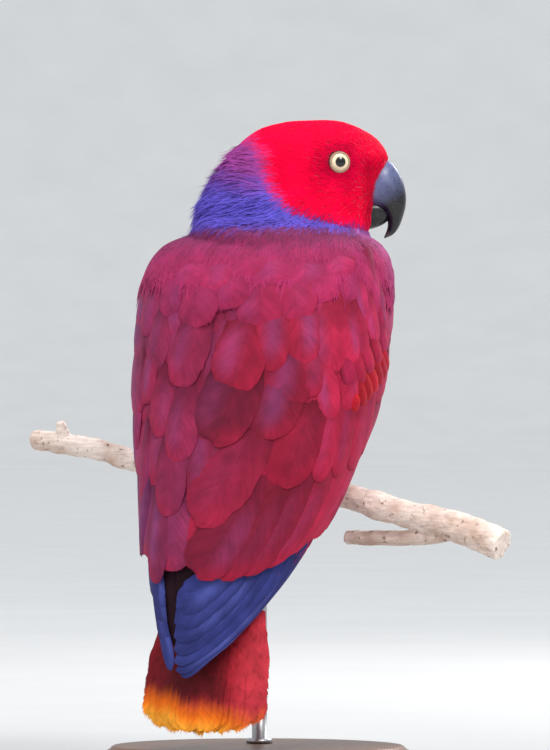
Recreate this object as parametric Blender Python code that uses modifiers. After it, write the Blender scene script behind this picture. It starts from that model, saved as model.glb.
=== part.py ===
"""Female eclectus parrot, life size, perched on a cut length of branch over a plain display stand.

Blender 4.5, metres, +Z up. The bird's body faces -Y and its right side is -X. Its head is turned
sixty degrees to its right. The origin is the centre of the stand's underside.
Body sizes are written in millimetres, as right, forward and up from the tip of the tail, and the
function bird() turns them into metres in the scene.
"""

import math
import random

import bmesh
import bpy
from mathutils import Vector

MM = 0.001
GAP = 0.35 * MM
SEED = 11

# Stand
BASE_RADIUS = 82 * MM
BASE_THICK = 12 * MM
BASE_EDGE = 3 * MM
ROD_RADIUS = 4 * MM
ROD_RIGHT = -9
TAIL_CLEARANCE = 9 * MM

# Perch, as right, up and radius along the branch
PERCH_FORWARD = 17
PERCH_ROUTE = (
    (-150, 152, 5.2),
    (-138, 151, 5.6),
    (-130, 149.8, 5.8),
    (-108, 146.5, 5.5),
    (-87, 141, 5.7),
    (-60, 137.5, 6.0),
    (-38, 134.4, 6.4),
    (-24, 132.5, 6.5),
    (-9, 130.4, 6.5),
    (9, 128, 6.5),
    (24, 126, 6.5),
    (43, 123.5, 6.6),
    (62, 118.5, 6.9),
    (80, 114, 7.2),
    (102, 109.5, 7.6),
    (120, 104.5, 8.2),
    (138, 98, 8.4),
)
PERCH_STUBS = (
    ((-130, 17, 150), (-131, 15, 157), (-131, 13, 162), (4.2, 3.4, 2.2)),
    ((112, 18, 105), (84, 20, 101.5), (42, 21, 101), (4.6, 4.2, 3.7)),
    ((-96, 18, 142), (-80, 22, 136), (-64, 25, 129), (2.6, 2.2, 1.6)),
)

# Body, from the root of the tail to the crown, as level sections:
# up, centre right, centre forward, turn in degrees, front, back, half width
HEAD_TURN = 60
BODY = (
    (44, 5, -58, 0, 3, 3.2, 23),
    (55, 4, -54.5, 0, 6, 6.5, 25),
    (68, 2.5, -49.5, 0, 9.5, 10.5, 26),
    (80, 1, -44, 0, 13, 17, 27.5),
    (94, 0, -35, 0, 17.5, 27, 30),
    (108, 0, -27, 0, 19, 34, 35),
    (121, 0, -20, 0, 17, 40, 41),
    (131, 0, -15, 0, 15, 43.5, 46),
    (140, 0, -12, 0, 16.5, 45, 50),
    (150, 0, -8, 0, 27, 47, 54),
    (160, 0, -5, 0, 41, 47.5, 57),
    (174, 0, -1, 0, 51, 48.5, 60),
    (200, 0, 3.5, 0, 55.5, 50.5, 61),
    (225, 0, 8, 0, 54, 49, 59),
    (240, 0, 13, 0, 51, 47, 56.5),
    (248, 0, 16, 6, 48, 46, 53.5),
    (256, 1, 21, 22, 44, 47, 49),
    (263, 4, 30, 46, 39, 53, 42),
    (270, 7, 40, HEAD_TURN, 34.5, 60, 33.5),
    (278, 10.4, 42, HEAD_TURN, 31.5, 61.5, 29.5),
    (286, 13, 43.5, HEAD_TURN, 29.8, 60, 27.5),
    (294, 14.7, 44.5, HEAD_TURN, 30.5, 57.5, 26.5),
    (300, 15.6, 45, HEAD_TURN, 33, 54, 25.7),
    (305, 15.6, 45, HEAD_TURN, 33, 50.5, 24.5),
    (311, 15.6, 45, HEAD_TURN, 29.5, 46, 21.8),
    (316, 15.6, 45, HEAD_TURN, 24, 40, 18.2),
    (320, 15.6, 45, HEAD_TURN, 17, 32.5, 13.2),
    (323, 15.6, 45, HEAD_TURN, 8.5, 20, 6.5),
)
BODY_SIDES = 26
BODY_RINGS = 30
RING_CROWDING = 0.09
ROUNDNESS = 2.2

# Outline of the folded wings round the body, as BODY's rows
WINGS = (
    (20, -4, -77, 0, 5, 5, 7),
    (33, -3.5, -71, 0, 9, 8, 14),
    (47, -1.5, -60, 0, 15, 14, 25),
    (68, 0.5, -46, 0, 27, 28, 37),
    (94, 0.5, -28, 0, 40, 44, 46),
    (121, 0.6, -16.5, 0, 46, 50, 53.5),
    (148, 0.7, -8, 0, 48, 54, 60.5),
    (174, 0.8, -1, 0, 53, 55, 66.2),
    (200, 0.8, 3.5, 0, 55, 56, 67),
    (227, 0.8, 8, 0, 54, 54, 66.2),
    (240, 0.5, 12, 0, 52, 52, 64),
    (253, 0, 17, 0, 48, 48, 60),
    (264, 0, 21, 0, 42, 42, 53),
)
# Front and back edge of a folded wing, in degrees round from the breast, by height
WING_EDGES = (
    (40, 92, 178),
    (60, 88, 176),
    (80, 82, 176),
    (100, 76, 180),
    (125, 70, 182),
    (150, 67, 182),
    (200, 62, 182),
    (235, 58, 182),
    (258, 60, 182),
)
WING_TOP = 258
WING_FOOT = 53
CORE_DROP = 1.8
CORE_EASE = 14
# The line that parts the two wings, as up and right
SPINE = ((-20, -9.5), (50, -9), (66, -5), (80, -0.8), (92, 0), (300, 0))
# The mantle lies over the shoulders between the wings, above a V of two straight edges
MANTLE_POINT = (0, 0, 199)
MANTLE_SLOPE = (0.72, 0, 0.695)

# Tiers of wing feathers from the lowest layer up. Each row gives the first feather, at the wing's
# front edge, and the last, at the spine: root and tip as degrees round and height, then width and
# the bend of its path in degrees and height. Last come the heights of the root and the tip over the wing
TIERS = (
    ("secondaries", 7, (76, 150, 78, 101, 21, 0, 0), (168, 150, 168, 79, 29, 0, 0), -2.6, 0.0),
    ("greater_coverts", 6, (73, 188, 74, 142, 22, 0, 0), (166, 172, 174, 109, 32, 0, 0), -2.0, 0.9),
    ("median_coverts", 6, (70, 218, 71, 176, 22, 0, 0), (166, 208, 170, 144, 30, 0, 0), -1.6, 1.6),
    ("scapulars", 6, (67, 238, 68, 207, 20, 0, 0), (164, 232, 170, 178, 28, 0, 0), -1.4, 2.2),
    ("lesser_coverts", 6, (65, 256, 66, 230, 19, 0, 0), (160, 256, 166, 208, 26, 0, 0), -2.8, 2.6),
)
PRIMARIES = {
    1: (7, (84, 108, 208, 27, 15, -80, -36), (144, 112, 193, 68, 15, 0, 0), -2.8, -1.2),
    -1: (7, (84, 108, 166, 33, 15, -55, -24), (144, 112, 172, 70, 15, 0, 0), -2.8, -1.2),
}
MANTLE = (
    ("mantle_low", 3, (166, 236, 168, 207, 24, 0, 0), (194, 236, 192, 207, 24, 0, 0), -1.6, 1.6),
    ("mantle_middle", 4, (146, 250, 152, 225, 25, 0, 0), (214, 250, 208, 225, 25, 0, 0), -2.0, 2.3),
    ("mantle_high", 5, (126, 264, 130, 241, 25, 0, 0), (234, 264, 230, 241, 25, 0, 0), -4.0, 2.2),
)
VANE_THICK = 0.8
VANE_TILT = 0.45
VANE_CAMBER = 0.3
VANE_ROWS = ((0.0, 0.7), (0.5, 1.0), (0.86, 0.88), (1.0, 0.36))
WEDGE_DEPTH = 0.9
EDGE_REACH = 12
EDGE_DROP = 3.4
EDGE_MOST = 6.0

# Tail feathers, from the middle pair outwards
TAIL_PAIRS = 6
TAIL_ROOT = (3, -50, 66)
TAIL_TIP = (2.8, -62.5, 0)
TAIL_SPREAD = 24.5
TAIL_WIDTH = 29
TAIL_STEP = 1.15
TAIL_SHORTENING = 4.0
TAIL_ROWS = ((0.0, 0.35), (0.55, 0.97), (0.92, 0.97), (1.0, 0.4))

# Head, as forward along the head's own heading, to its right side, and up
HEAD_CENTRE = (15.6, 45)
EYE_PLACE = (6.6, 20.8, 300.2)
EYE_RADIUS = 6.3
EYE_FORWARD_TURN = 12
LID_RADIUS = 5.55
LID_THICK = 0.9
LID_OUT = 4.2
# Upper bill: culmen point and inner point as forward and up, and half width
BILL_UPPER = (
    (24, 301.5, 20, 284, 8.4),
    (33.7, 301.2, 21, 279, 9.0),
    (38.3, 296.8, 23, 277.4, 9.0),
    (41.4, 290.5, 25.5, 276.2, 8.6),
    (42.9, 283.5, 28.2, 275, 7.8),
    (42.7, 277, 30.6, 273.1, 6.6),
    (41.3, 271.4, 32.7, 270.4, 5.2),
    (39.3, 266.3, 33.2, 267.3, 3.8),
    (36.2, 262.2, 32.6, 264.2, 2.4),
    (31.6, 260, 31.2, 260.8, 0.9),
)
# Lower bill: forward, top, bottom and half width
BILL_LOWER = (
    (18, 273, 262, 7.4),
    (23, 274, 262.6, 7.6),
    (27.5, 273.8, 264, 6.8),
    (30.5, 272.4, 266, 5.2),
    (32.2, 271, 268, 2.6),
)

# Cuts that part the body, as a point and a normal in right, forward and up
HEAD_CUT = ((35.9, 56.7, 257), (0.565, 0.326, 0.758))
NECK_CUT = ((0, 20, 258), (0.05, 0.12, 0.99))
TAIL_CUT = ((0, -35, 92), (0, 0, 1))

# Legs and feet
FOOT_RIGHT = 24
TOE_RADIUS = 2.5
TOE_TIP_RADIUS = 2.0
CLAW_RADIUS = 1.8
# Toes as degrees round the branch at the end, side step at the root and at the end
TOES = ((128, 2.6, 5.5), (122, -2.6, -5.5), (-104, 2.4, 6.0), (-92, -2.4, -5.0))
CLAW_TURN = 36


def bird(right, forward, up):
    """A point given in millimetres on the bird, in metres in the scene."""
    return Vector((-right * MM, -forward * MM, up * MM + BASE_THICK + TAIL_CLEARANCE))


def head_point(ahead, side, up):
    """A point given along the head's own heading, to the head's right side, and up."""
    turn = math.radians(HEAD_TURN)
    right = HEAD_CENTRE[0] + ahead * math.sin(turn) + side * math.cos(turn)
    forward = HEAD_CENTRE[1] + ahead * math.cos(turn) - side * math.sin(turn)
    return bird(right, forward, up)


def at_height(rows, up):
    """Reads a table of rows at a height, along a smooth curve through the rows."""
    last = len(rows) - 1
    i = 0
    while i < last - 1 and up > rows[i + 1][0]:
        i += 1
    before, low, high, after = rows[max(i - 1, 0)], rows[i], rows[i + 1], rows[min(i + 2, last)]
    span = high[0] - low[0]
    t = min(max((up - low[0]) / span, 0.0), 1.0)
    values = []
    for k in range(1, len(low)):
        slope_low = (high[k] - before[k]) / (high[0] - before[0]) * span
        slope_high = (after[k] - low[k]) / (after[0] - low[0]) * span
        values.append(
            (2 * t**3 - 3 * t**2 + 1) * low[k]
            + (t**3 - 2 * t**2 + t) * slope_low
            + (3 * t**2 - 2 * t**3) * high[k]
            + (t**3 - t**2) * slope_high
        )
    return values


def section_point(rows, up, degrees):
    """A point on a level section, at an angle round from its front to its right side."""
    right, forward, turn, front, back, half = at_height(rows, up)
    angle = math.radians(degrees)
    along, across = math.cos(angle), math.sin(angle)
    power = 2 / ROUNDNESS
    ahead = math.copysign(abs(along) ** power, along) * (front if along > 0 else back)
    side = math.copysign(abs(across) ** power, across) * half
    turn = math.radians(turn)
    return bird(
        right + ahead * math.sin(turn) + side * math.cos(turn),
        forward + ahead * math.cos(turn) - side * math.sin(turn),
        up,
    )


def wing_point(degrees, up, height):
    """A point over the folded wings' outline, height in millimetres outwards."""
    step = 0.5
    here = section_point(WINGS, up, degrees)
    round_it = section_point(WINGS, up, degrees + step) - section_point(WINGS, up, degrees - step)
    up_it = section_point(WINGS, up + step, degrees) - section_point(WINGS, up - step, degrees)
    normal = round_it.cross(up_it).normalized()
    centre = at_height(WINGS, up)
    outward = here - bird(centre[0], centre[1], up)
    if normal.dot(outward) < 0:
        normal = -normal
    return here + normal * height * MM


def material(name, colour, roughness, metallic=0.0):
    made = bpy.data.materials.new(name)
    made.use_nodes = True
    shader = made.node_tree.nodes["Principled BSDF"]
    shader.inputs["Base Color"].default_value = (*colour, 1.0)
    shader.inputs["Roughness"].default_value = roughness
    shader.inputs["Metallic"].default_value = metallic
    return made


def linked(obj):
    bpy.context.scene.collection.children[COLLECTION].objects.link(obj)
    return obj


def mesh_object(name, points, faces):
    """A closed mesh of triangles from points and faces, its normals turned outwards. Copies that
    cut its neighbours then bend along the same diagonals."""
    mesh = bpy.data.meshes.new(name)
    mesh.from_pydata([tuple(p) for p in points], [], faces)
    tidy = bmesh.new()
    tidy.from_mesh(mesh)
    bmesh.ops.triangulate(tidy, faces=tidy.faces)
    bmesh.ops.recalc_face_normals(tidy, faces=tidy.faces)
    tidy.to_mesh(mesh)
    tidy.free()
    return linked(bpy.data.objects.new(name, mesh))


def loft(name, rings, first_tip=None, last_tip=None):
    """A closed surface through rings of equal counts, its ends closed to a point or flat."""
    count = len(rings[0])
    points = [p for ring in rings for p in ring]
    faces = []
    for r in range(len(rings) - 1):
        for k in range(count):
            a, b = r * count + k, r * count + (k + 1) % count
            faces.append((a, b, b + count, a + count))
    for tip, start in ((first_tip, 0), (last_tip, (len(rings) - 1) * count)):
        ends = [start + k for k in range(count)]
        if tip is None:
            faces.append(tuple(ends))
            continue
        points.append(tip)
        faces += [(ends[k], ends[(k + 1) % count], len(points) - 1) for k in range(count)]
    return mesh_object(name, points, faces)


def tube(name, points, radii, resolution=2):
    """A curve with a round bevel and filled caps, turned into a closed mesh."""
    curve = bpy.data.curves.new(name, "CURVE")
    curve.dimensions = "3D"
    curve.bevel_depth = 1.0
    curve.bevel_resolution = resolution
    curve.use_fill_caps = True
    spline = curve.splines.new("POLY")
    spline.points.add(len(points) - 1)
    for spot, place, radius in zip(spline.points, points, radii):
        spot.co = (*place, 1.0)
        spot.radius = radius * MM
    source = linked(bpy.data.objects.new(name, curve))
    bpy.context.view_layer.update()
    graph = bpy.context.evaluated_depsgraph_get()
    mesh = bpy.data.meshes.new_from_object(source.evaluated_get(graph))
    bpy.data.objects.remove(source)
    bpy.data.curves.remove(curve)
    tidy = bmesh.new()
    tidy.from_mesh(mesh)
    bmesh.ops.remove_doubles(tidy, verts=tidy.verts, dist=0.00001)
    bmesh.ops.recalc_face_normals(tidy, faces=tidy.faces)
    tidy.to_mesh(mesh)
    tidy.free()
    mesh.name = name
    return linked(bpy.data.objects.new(name, mesh))


def apply_modifiers(obj):
    bpy.context.view_layer.update()
    graph = bpy.context.evaluated_depsgraph_get()
    made = bpy.data.meshes.new_from_object(obj.evaluated_get(graph))
    obj.modifiers.clear()
    obj.data = made
    return obj


def boolean(obj, others, operation, solver="EXACT"):
    """Joins a collection of closed meshes to obj, or cuts them from it, and removes them."""
    group = bpy.data.collections.new("operands")
    bpy.context.scene.collection.children.link(group)
    for other in others:
        group.objects.link(other)
    modifier = obj.modifiers.new(operation.lower(), "BOOLEAN")
    modifier.operation = operation
    modifier.operand_type = "COLLECTION"
    modifier.collection = group
    modifier.solver = solver
    apply_modifiers(obj)
    for other in others:
        bpy.data.objects.remove(other)
    bpy.data.collections.remove(group)
    return obj


def grown(obj, distance=GAP):
    """A copy of obj whose surface stands out by a distance, for cutting a clear seat."""
    copy = linked(bpy.data.objects.new(obj.name + "_grown", obj.data.copy()))
    tidy = bmesh.new()
    tidy.from_mesh(copy.data)
    bmesh.ops.recalc_face_normals(tidy, faces=tidy.faces)
    tidy.normal_update()
    moves = [v.normal * v.calc_shell_factor() * distance for v in tidy.verts]
    for v, move in zip(tidy.verts, moves):
        v.co += move if move.length < 3 * distance else move.normalized() * 3 * distance
    tidy.to_mesh(copy.data)
    tidy.free()
    return copy


def keep_largest(obj):
    """Drops every closed surface but the largest, also one that only touches it at a corner."""
    tidy = bmesh.new()
    tidy.from_mesh(obj.data)
    unseen = set(tidy.faces)
    shells = []
    while unseen:
        shell, edge = [], [unseen.pop()]
        while edge:
            face = edge.pop()
            shell.append(face)
            for beside in face.edges:
                for other in beside.link_faces:
                    if other in unseen:
                        unseen.remove(other)
                        edge.append(other)
        shells.append(shell)

    def reach(shell):
        corners = [v.co for face in shell for v in face.verts]
        sides = [[corner[k] for corner in corners] for k in range(3)]
        return sum(max(side) - min(side) for side in sides)

    shells.sort(key=reach, reverse=True)
    for shell in shells[1:]:
        bmesh.ops.delete(tidy, geom=shell, context="FACES")
    tidy.to_mesh(obj.data)
    tidy.free()
    return obj


def sliced(obj, name, keeps):
    """A copy of obj, cut flat by each plane and closed. Each row is a point, a normal and a side."""
    copy = linked(bpy.data.objects.new(name, obj.data.copy()))
    tidy = bmesh.new()
    tidy.from_mesh(copy.data)
    for point, normal, side in keeps:
        way = Vector((-normal[0], -normal[1], normal[2])).normalized() * side
        cut = bmesh.ops.bisect_plane(
            tidy,
            geom=list(tidy.verts) + list(tidy.edges) + list(tidy.faces),
            plane_co=bird(*point) + way * GAP / 2,
            plane_no=-way,
            clear_outer=True,
        )
        rim = [e for e in cut["geom_cut"] if isinstance(e, bmesh.types.BMEdge)]
        bmesh.ops.contextual_create(tidy, geom=rim)
    bmesh.ops.recalc_face_normals(tidy, faces=tidy.faces)
    tidy.to_mesh(copy.data)
    tidy.free()
    return copy


def plate(name, rows):
    """A closed vane from rows of points, each a place on top and one below. Both faces are split
    into triangles alike, so that they stay parallel where the vane bends."""
    across = len(rows[0])
    points = [spot[0] for row in rows for spot in row]
    points += [spot[1] for row in rows for spot in row]
    lower = len(rows) * across
    faces = []
    for r in range(len(rows) - 1):
        for k in range(across - 1):
            a = r * across + k
            for tri in ((a, a + 1, a + across + 1), (a, a + across + 1, a + across)):
                faces.append(tri)
                faces.append(tuple(lower + v for v in reversed(tri)))
    rim = [k for k in range(across)]
    rim += [r * across + across - 1 for r in range(1, len(rows))]
    rim += [(len(rows) - 1) * across + k for k in range(across - 2, -1, -1)]
    rim += [r * across for r in range(len(rows) - 2, 0, -1)]
    for a, b in zip(rim, rim[1:] + rim[:1]):
        faces.append((a, lower + a, b))
        faces.append((b, lower + a, lower + b))
    return mesh_object(name, points, faces)


def edge_drop(degrees, up):
    """How far the feathers turn in over a wing's front edge, in millimetres."""
    near = at_height(WING_EDGES, up)[0] + EDGE_REACH - degrees
    return min(EDGE_DROP * (max(near, 0.0) / EDGE_REACH) ** 2, EDGE_MOST)


def bent(start, end, bend, t):
    """A point on the way from start to end, along a curve that bends sideways in between."""
    return start + (end - start) * t + bend * 2 * t * (1 - t)


def wing_vane(name, side, first, last, f, root_height, tip_height, draw, wedge):
    """One feather on a folded wing, f of the way from the wing's front edge to the spine. A wedge
    reaches down into the wing's core, and the others are thin plates."""
    root_round, root_up, tip_round, tip_up, width, bend, bend_up = (
        a + (b - a) * f for a, b in zip(first, last)
    )
    tip_up += draw.uniform(-2.5, 2.5) if wedge else 0.0
    width *= draw.uniform(0.95, 1.05)
    rows = []
    for t, share in VANE_ROWS:
        round_it, up = bent(root_round, tip_round, bend, t), bent(root_up, tip_up, bend_up, t)
        ahead = min(t + 0.05, 1.0)
        turn = bent(root_round, tip_round, bend, ahead) - bent(
            root_round, tip_round, bend, ahead - 0.1
        )
        rise = bent(root_up, tip_up, bend_up, ahead) - bent(root_up, tip_up, bend_up, ahead - 0.1)
        arc = (wing_point(round_it + 1, up, 0) - wing_point(round_it - 1, up, 0)).length / 2 / MM
        way = Vector((turn * arc, rise)).normalized()
        height = root_height + (tip_height - root_height) * min(t / 0.6, 1.0)
        row = []
        for k in (-1, 0, 1):
            reach = k * width * share / 2
            degrees, at_up = round_it - reach * way.y / arc, up + reach * way.x
            lift = height - k * VANE_TILT + (VANE_CAMBER if k == 0 else 0.0)
            lift -= edge_drop(degrees, at_up)
            low = lift - VANE_THICK
            if wedge:
                low = min(low, core_depths(at_up)[0] - WEDGE_DEPTH)
            spot = (side * degrees, at_up)
            row.append((wing_point(*spot, lift), wing_point(*spot, low)))
        rows.append(row)
    return plate(name, rows)


def tier_of_vanes(tier, side, draw, wedge=True):
    label, count, first, last, root_height, tip_height = tier
    vanes = []
    for i in range(count):
        f = i / (count - 1)
        heights = (root_height, tip_height)
        vanes.append(wing_vane(f"{label}_{i}", side, first, last, f, *heights, draw, wedge))
    return vanes


def slab(name, side, edges, low, high, steps, depths):
    """A curved slab on the wings' outline: edges gives its front and back edge at a height, in
    degrees, and depths its outer and inner depth there."""
    up_steps, round_steps = steps
    rings = []
    for i in range(up_steps + 1):
        up = low + (high - low) * i / up_steps
        front, back = edges(up)
        outer, inner = depths(up)
        ring = []
        for k in range(round_steps + 1):
            degrees = front + (back - front) * k / round_steps
            ring.append(wing_point(side * degrees, up, outer - edge_drop(degrees, up)))
        for k in range(round_steps, -1, -1):
            degrees = front + (back - front) * k / round_steps
            ring.append(wing_point(side * degrees, up, inner))
        rings.append(ring)
    return loft(name, rings)


def core_depths(up):
    """Outer and inner depth of a wing's core. Its top turns in to the shoulder."""
    ease = max((up - WING_TOP + CORE_EASE) / CORE_EASE, 0.0)
    outer = -CORE_DROP - 5.0 * ease**2
    depth = min(max((up - WING_FOOT) / 60, 0.0), 1.0)
    return outer, outer - 1.8 - 9.0 * depth


def spine_block(name, side):
    """All that lies past the spine from one wing, bent as the wings' tips swing over the tail."""
    rows = []
    for up, right in SPINE:
        near = right + side * GAP / MM / 2
        far = right - side * 140
        corners = ((near, -140), (near, 30), (far, 30), (far, -140))
        rows.append([bird(*corner, up) for corner in corners])
    return loft(name, rows)


def build_body():
    """The whole body as one closed loft of level sections."""
    low, high = BODY[0][0], BODY[-1][0]
    rings = []
    for i in range(BODY_RINGS + 1):
        t = i / BODY_RINGS
        up = low + (high - low) * (t - RING_CROWDING * math.sin(2 * math.pi * t))
        ring = [section_point(BODY, up, 360 * k / BODY_SIDES) for k in range(BODY_SIDES)]
        rings.append(ring)
    right, forward = at_height(BODY, low)[:2]
    crown = at_height(BODY, high)[:2]
    return loft(
        "body", rings, bird(right, forward - 0.5, low - 1.5), bird(crown[0], crown[1], high + 0.9)
    )


def mantle_side(side):
    """The plane of the mantle's edge on one side, as a point and a normal towards the mantle."""
    return MANTLE_POINT, (-side * MANTLE_SLOPE[0], 0, MANTLE_SLOPE[2])


def build_wing(name, side, body, perch):
    draw = random.Random(SEED + side)
    steps = (9, 6)
    core = slab(
        "core", side, lambda up: at_height(WING_EDGES, up), WING_FOOT, WING_TOP, steps, core_depths
    )
    vanes = tier_of_vanes(("primaries", *PRIMARIES[side]), side, draw, wedge=False)
    for tier in TIERS:
        vanes += tier_of_vanes(tier, side, draw)
    boolean(core, vanes, "UNION", "MANIFOLD")
    wing = sliced(core, name, [(*mantle_side(side), -1)])
    bpy.data.objects.remove(core)
    cutters = [grown(body), grown(perch), spine_block("past_spine", side)]
    boolean(wing, cutters, "DIFFERENCE", "MANIFOLD")
    return keep_largest(wing)


def build_torso(body):
    torso = sliced(body, "torso", [(*NECK_CUT, -1), (*TAIL_CUT, 1)])
    draw = random.Random(SEED)
    low, high = MANTLE_POINT[2] - 3, WING_TOP + 6
    core = slab("core", 1, lambda up: (104, 256), low, high, (5, 10), mantle_depths)
    vanes = [vane for tier in MANTLE for vane in tier_of_vanes(tier, 1, draw)]
    boolean(core, vanes, "UNION", "MANIFOLD")
    mantle = sliced(core, "mantle", [(*mantle_side(1), 1), (*mantle_side(-1), 1), (*NECK_CUT, -1)])
    bpy.data.objects.remove(core)
    boolean(torso, [mantle], "UNION", "MANIFOLD")
    return keep_largest(torso)


def mantle_depths(up):
    outer = core_depths(up)[0]
    return outer, outer - 10.0


def tail_vane(pair, side, draw):
    """One tail feather. The middle pair lies on top, and each pair outwards lies under it."""
    shift = side * (1.6 + (TAIL_SPREAD - 1.6) * pair / (TAIL_PAIRS - 1))
    under = pair * TAIL_STEP + (0.55 if side > 0 else 0.0)
    drop = TAIL_SHORTENING * (pair / (TAIL_PAIRS - 1)) ** 2
    tip_up = TAIL_TIP[2] + drop + draw.uniform(-0.8, 0.8) + 0.8
    rows = []
    for t, share in TAIL_ROWS:
        up = TAIL_ROOT[2] + (tip_up - TAIL_ROOT[2]) * t
        right = TAIL_ROOT[0] + (TAIL_TIP[0] - TAIL_ROOT[0]) * t + shift * (0.68 + 0.32 * t)
        bend = math.sin(math.pi * t) * 1.2
        forward = TAIL_ROOT[1] + (TAIL_TIP[1] - TAIL_ROOT[1]) * t - bend
        forward += (under - 3.2) * min(0.35 + t, 1.0)
        row = []
        for k in (-1, 0, 1):
            curl = 0.9 if k else 0.0
            out = Vector((-k * 0.08, 1.0, 0.1)).normalized()
            place = bird(right + k * TAIL_WIDTH * share / 2, forward + curl, up)
            row.append((place - out * VANE_THICK / 2 * MM, place + out * VANE_THICK / 2 * MM))
        rows.append(row)
    return plate(f"tail_{pair}_{side}", rows)


def build_tail(body):
    tail = sliced(body, "tail", [(*TAIL_CUT, -1)])
    draw = random.Random(SEED)
    vanes = [tail_vane(pair, side, draw) for pair in range(TAIL_PAIRS) for side in (-1, 1)]
    boolean(tail, vanes, "UNION", "MANIFOLD")
    return keep_largest(tail)


def ball(name, place, radius, segments=16, rings=10):
    bpy.ops.mesh.primitive_uv_sphere_add(
        segments=segments, ring_count=rings, radius=radius * MM, location=place
    )
    obj = bpy.context.active_object
    obj.name = name
    obj.data.name = name
    for group in list(obj.users_collection):
        group.objects.unlink(obj)
    linked(obj)
    obj.data.transform(obj.matrix_world)
    obj.matrix_world.identity()
    return obj


def eye_axis(side):
    turn = math.radians(EYE_FORWARD_TURN)
    centre = head_point(0, 0, 0)
    way = head_point(math.sin(turn), side * math.cos(turn), 0) - centre
    return way.normalized()


def lid_ring(name, side):
    ahead, across, up = EYE_PLACE
    axis = eye_axis(side)
    centre = head_point(ahead, side * across, up) + axis * LID_OUT * MM
    bpy.ops.mesh.primitive_torus_add(
        major_radius=LID_RADIUS * MM,
        minor_radius=LID_THICK * MM,
        major_segments=16,
        minor_segments=5,
    )
    ring = bpy.context.active_object
    ring.name = name
    for group in list(ring.users_collection):
        group.objects.unlink(ring)
    linked(ring)
    turn = axis.to_track_quat("Z", "Y").to_matrix().to_4x4()
    turn.translation = centre
    ring.data.transform(turn)
    return ring


def build_eyes():
    ahead, across, up = EYE_PLACE
    eyes = []
    for name, side in (("eye_right", 1), ("eye_left", -1)):
        eyes.append(ball(name, head_point(ahead, side * across, up), EYE_RADIUS))
    return eyes


def build_head(body, eyes):
    head = sliced(body, "head", [(*HEAD_CUT, 1)])
    boolean(head, [lid_ring("lid_right", 1), lid_ring("lid_left", -1)], "UNION", "MANIFOLD")
    boolean(head, [grown(eye) for eye in eyes], "DIFFERENCE", "MANIFOLD")
    return keep_largest(head)


def bill_ring(middle, reach, half, sides=12):
    """A section of the bill: reach runs from its middle to the ridge, half is across the head."""
    across = head_point(0, 1, 0) - head_point(0, 0, 0)
    across = across.normalized() * half * MM
    ring = []
    for k in range(sides):
        angle = 2 * math.pi * k / sides
        along, side = math.cos(angle), math.sin(angle)
        ring.append(
            middle
            + reach * math.copysign(abs(along) ** 0.9, along)
            + across * math.copysign(abs(side) ** 0.8, side) * (1.0 - 0.18 * along)
        )
    return ring


def build_bill(head):
    rings = []
    for ahead, up, inner_ahead, inner_up, half in BILL_UPPER:
        ridge, inner = head_point(ahead, 0, up), head_point(inner_ahead, 0, inner_up)
        rings.append(bill_ring((ridge + inner) / 2, (ridge - inner) / 2, half))
    upper = loft("bill_upper", rings)
    rings = []
    for ahead, top, bottom, half in BILL_LOWER:
        ridge, inner = head_point(ahead, 0, bottom), head_point(ahead, 0, top)
        rings.append(bill_ring((ridge + inner) / 2, (ridge - inner) / 2, half))
    lower = loft("bill_lower", rings)
    boolean(lower, [grown(upper)], "DIFFERENCE", "MANIFOLD")
    for piece in (upper, lower):
        boolean(piece, [grown(head)], "DIFFERENCE", "MANIFOLD")
        keep_largest(piece)
    return upper, lower


def perch_at(right):
    return at_height(PERCH_ROUTE, right)


def build_perch():
    steps = 22
    first, last = PERCH_ROUTE[0][0], PERCH_ROUTE[-1][0]
    points, radii = [], []
    for i in range(steps + 1):
        right = first + (last - first) * i / steps
        up, radius = perch_at(right)
        points.append(bird(right, PERCH_FORWARD, up))
        radii.append(radius)
    perch = tube("perch", points, radii, resolution=3)
    stubs = []
    for number, (*route, sizes) in enumerate(PERCH_STUBS):
        stubs.append(tube(f"stub_{number}", [bird(*spot) for spot in route], sizes, resolution=1))
    return boolean(perch, stubs, "UNION")


def round_perch(right, degrees, reach):
    """A point at an angle round the branch from its top, forwards, and a reach from its middle."""
    up, radius = perch_at(right)
    angle = math.radians(degrees)
    away = radius + reach
    return bird(right, PERCH_FORWARD + away * math.sin(angle), up + away * math.cos(angle))


def build_foot(label, side, perch, body):
    middle = side * FOOT_RIGHT
    foot = ball(f"foot_{label}", Vector(), 1.0, 12, 6)
    centre = round_perch(middle, 0, 2.4)
    for v in foot.data.vertices:
        v.co = centre + Vector((v.co.x * 6.2, v.co.y * 6.4, v.co.z * 3.6))
    toes, claws = [], []
    for number, (end, start_step, end_step) in enumerate(TOES, 1):
        steps = 5
        route, radii = [], []
        for i in range(steps + 1):
            t = i / steps
            right = middle + start_step + (end_step - start_step) * t
            radius = TOE_RADIUS + (TOE_TIP_RADIUS - TOE_RADIUS) * t
            route.append(round_perch(right, end * t, radius + 0.2))
            radii.append(radius)
        toes.append(tube(f"toe_{label}_{number}", route, radii, resolution=1))
        claw_route, claw_radii = [], []
        gap_turn = math.copysign(math.degrees(0.45 / 8.7), end)
        for i in range(5):
            t = i / 4
            degrees = end + gap_turn + math.copysign(CLAW_TURN, end) * t
            reach = TOE_TIP_RADIUS + 0.6 - 1.3 * t * t
            claw_route.append(round_perch(middle + end_step, degrees, reach))
            claw_radii.append(CLAW_RADIUS * (1 - t) + 0.35)
        claws.append(tube(f"claw_{label}_{number}", claw_route, claw_radii, resolution=1))
    boolean(foot, toes, "UNION", "MANIFOLD")
    boolean(foot, [grown(perch), grown(body)], "DIFFERENCE", "MANIFOLD")
    keep_largest(foot)
    for claw in claws:
        boolean(claw, [grown(perch), grown(foot)], "DIFFERENCE", "MANIFOLD")
        keep_largest(claw)
    return foot, claws


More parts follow.
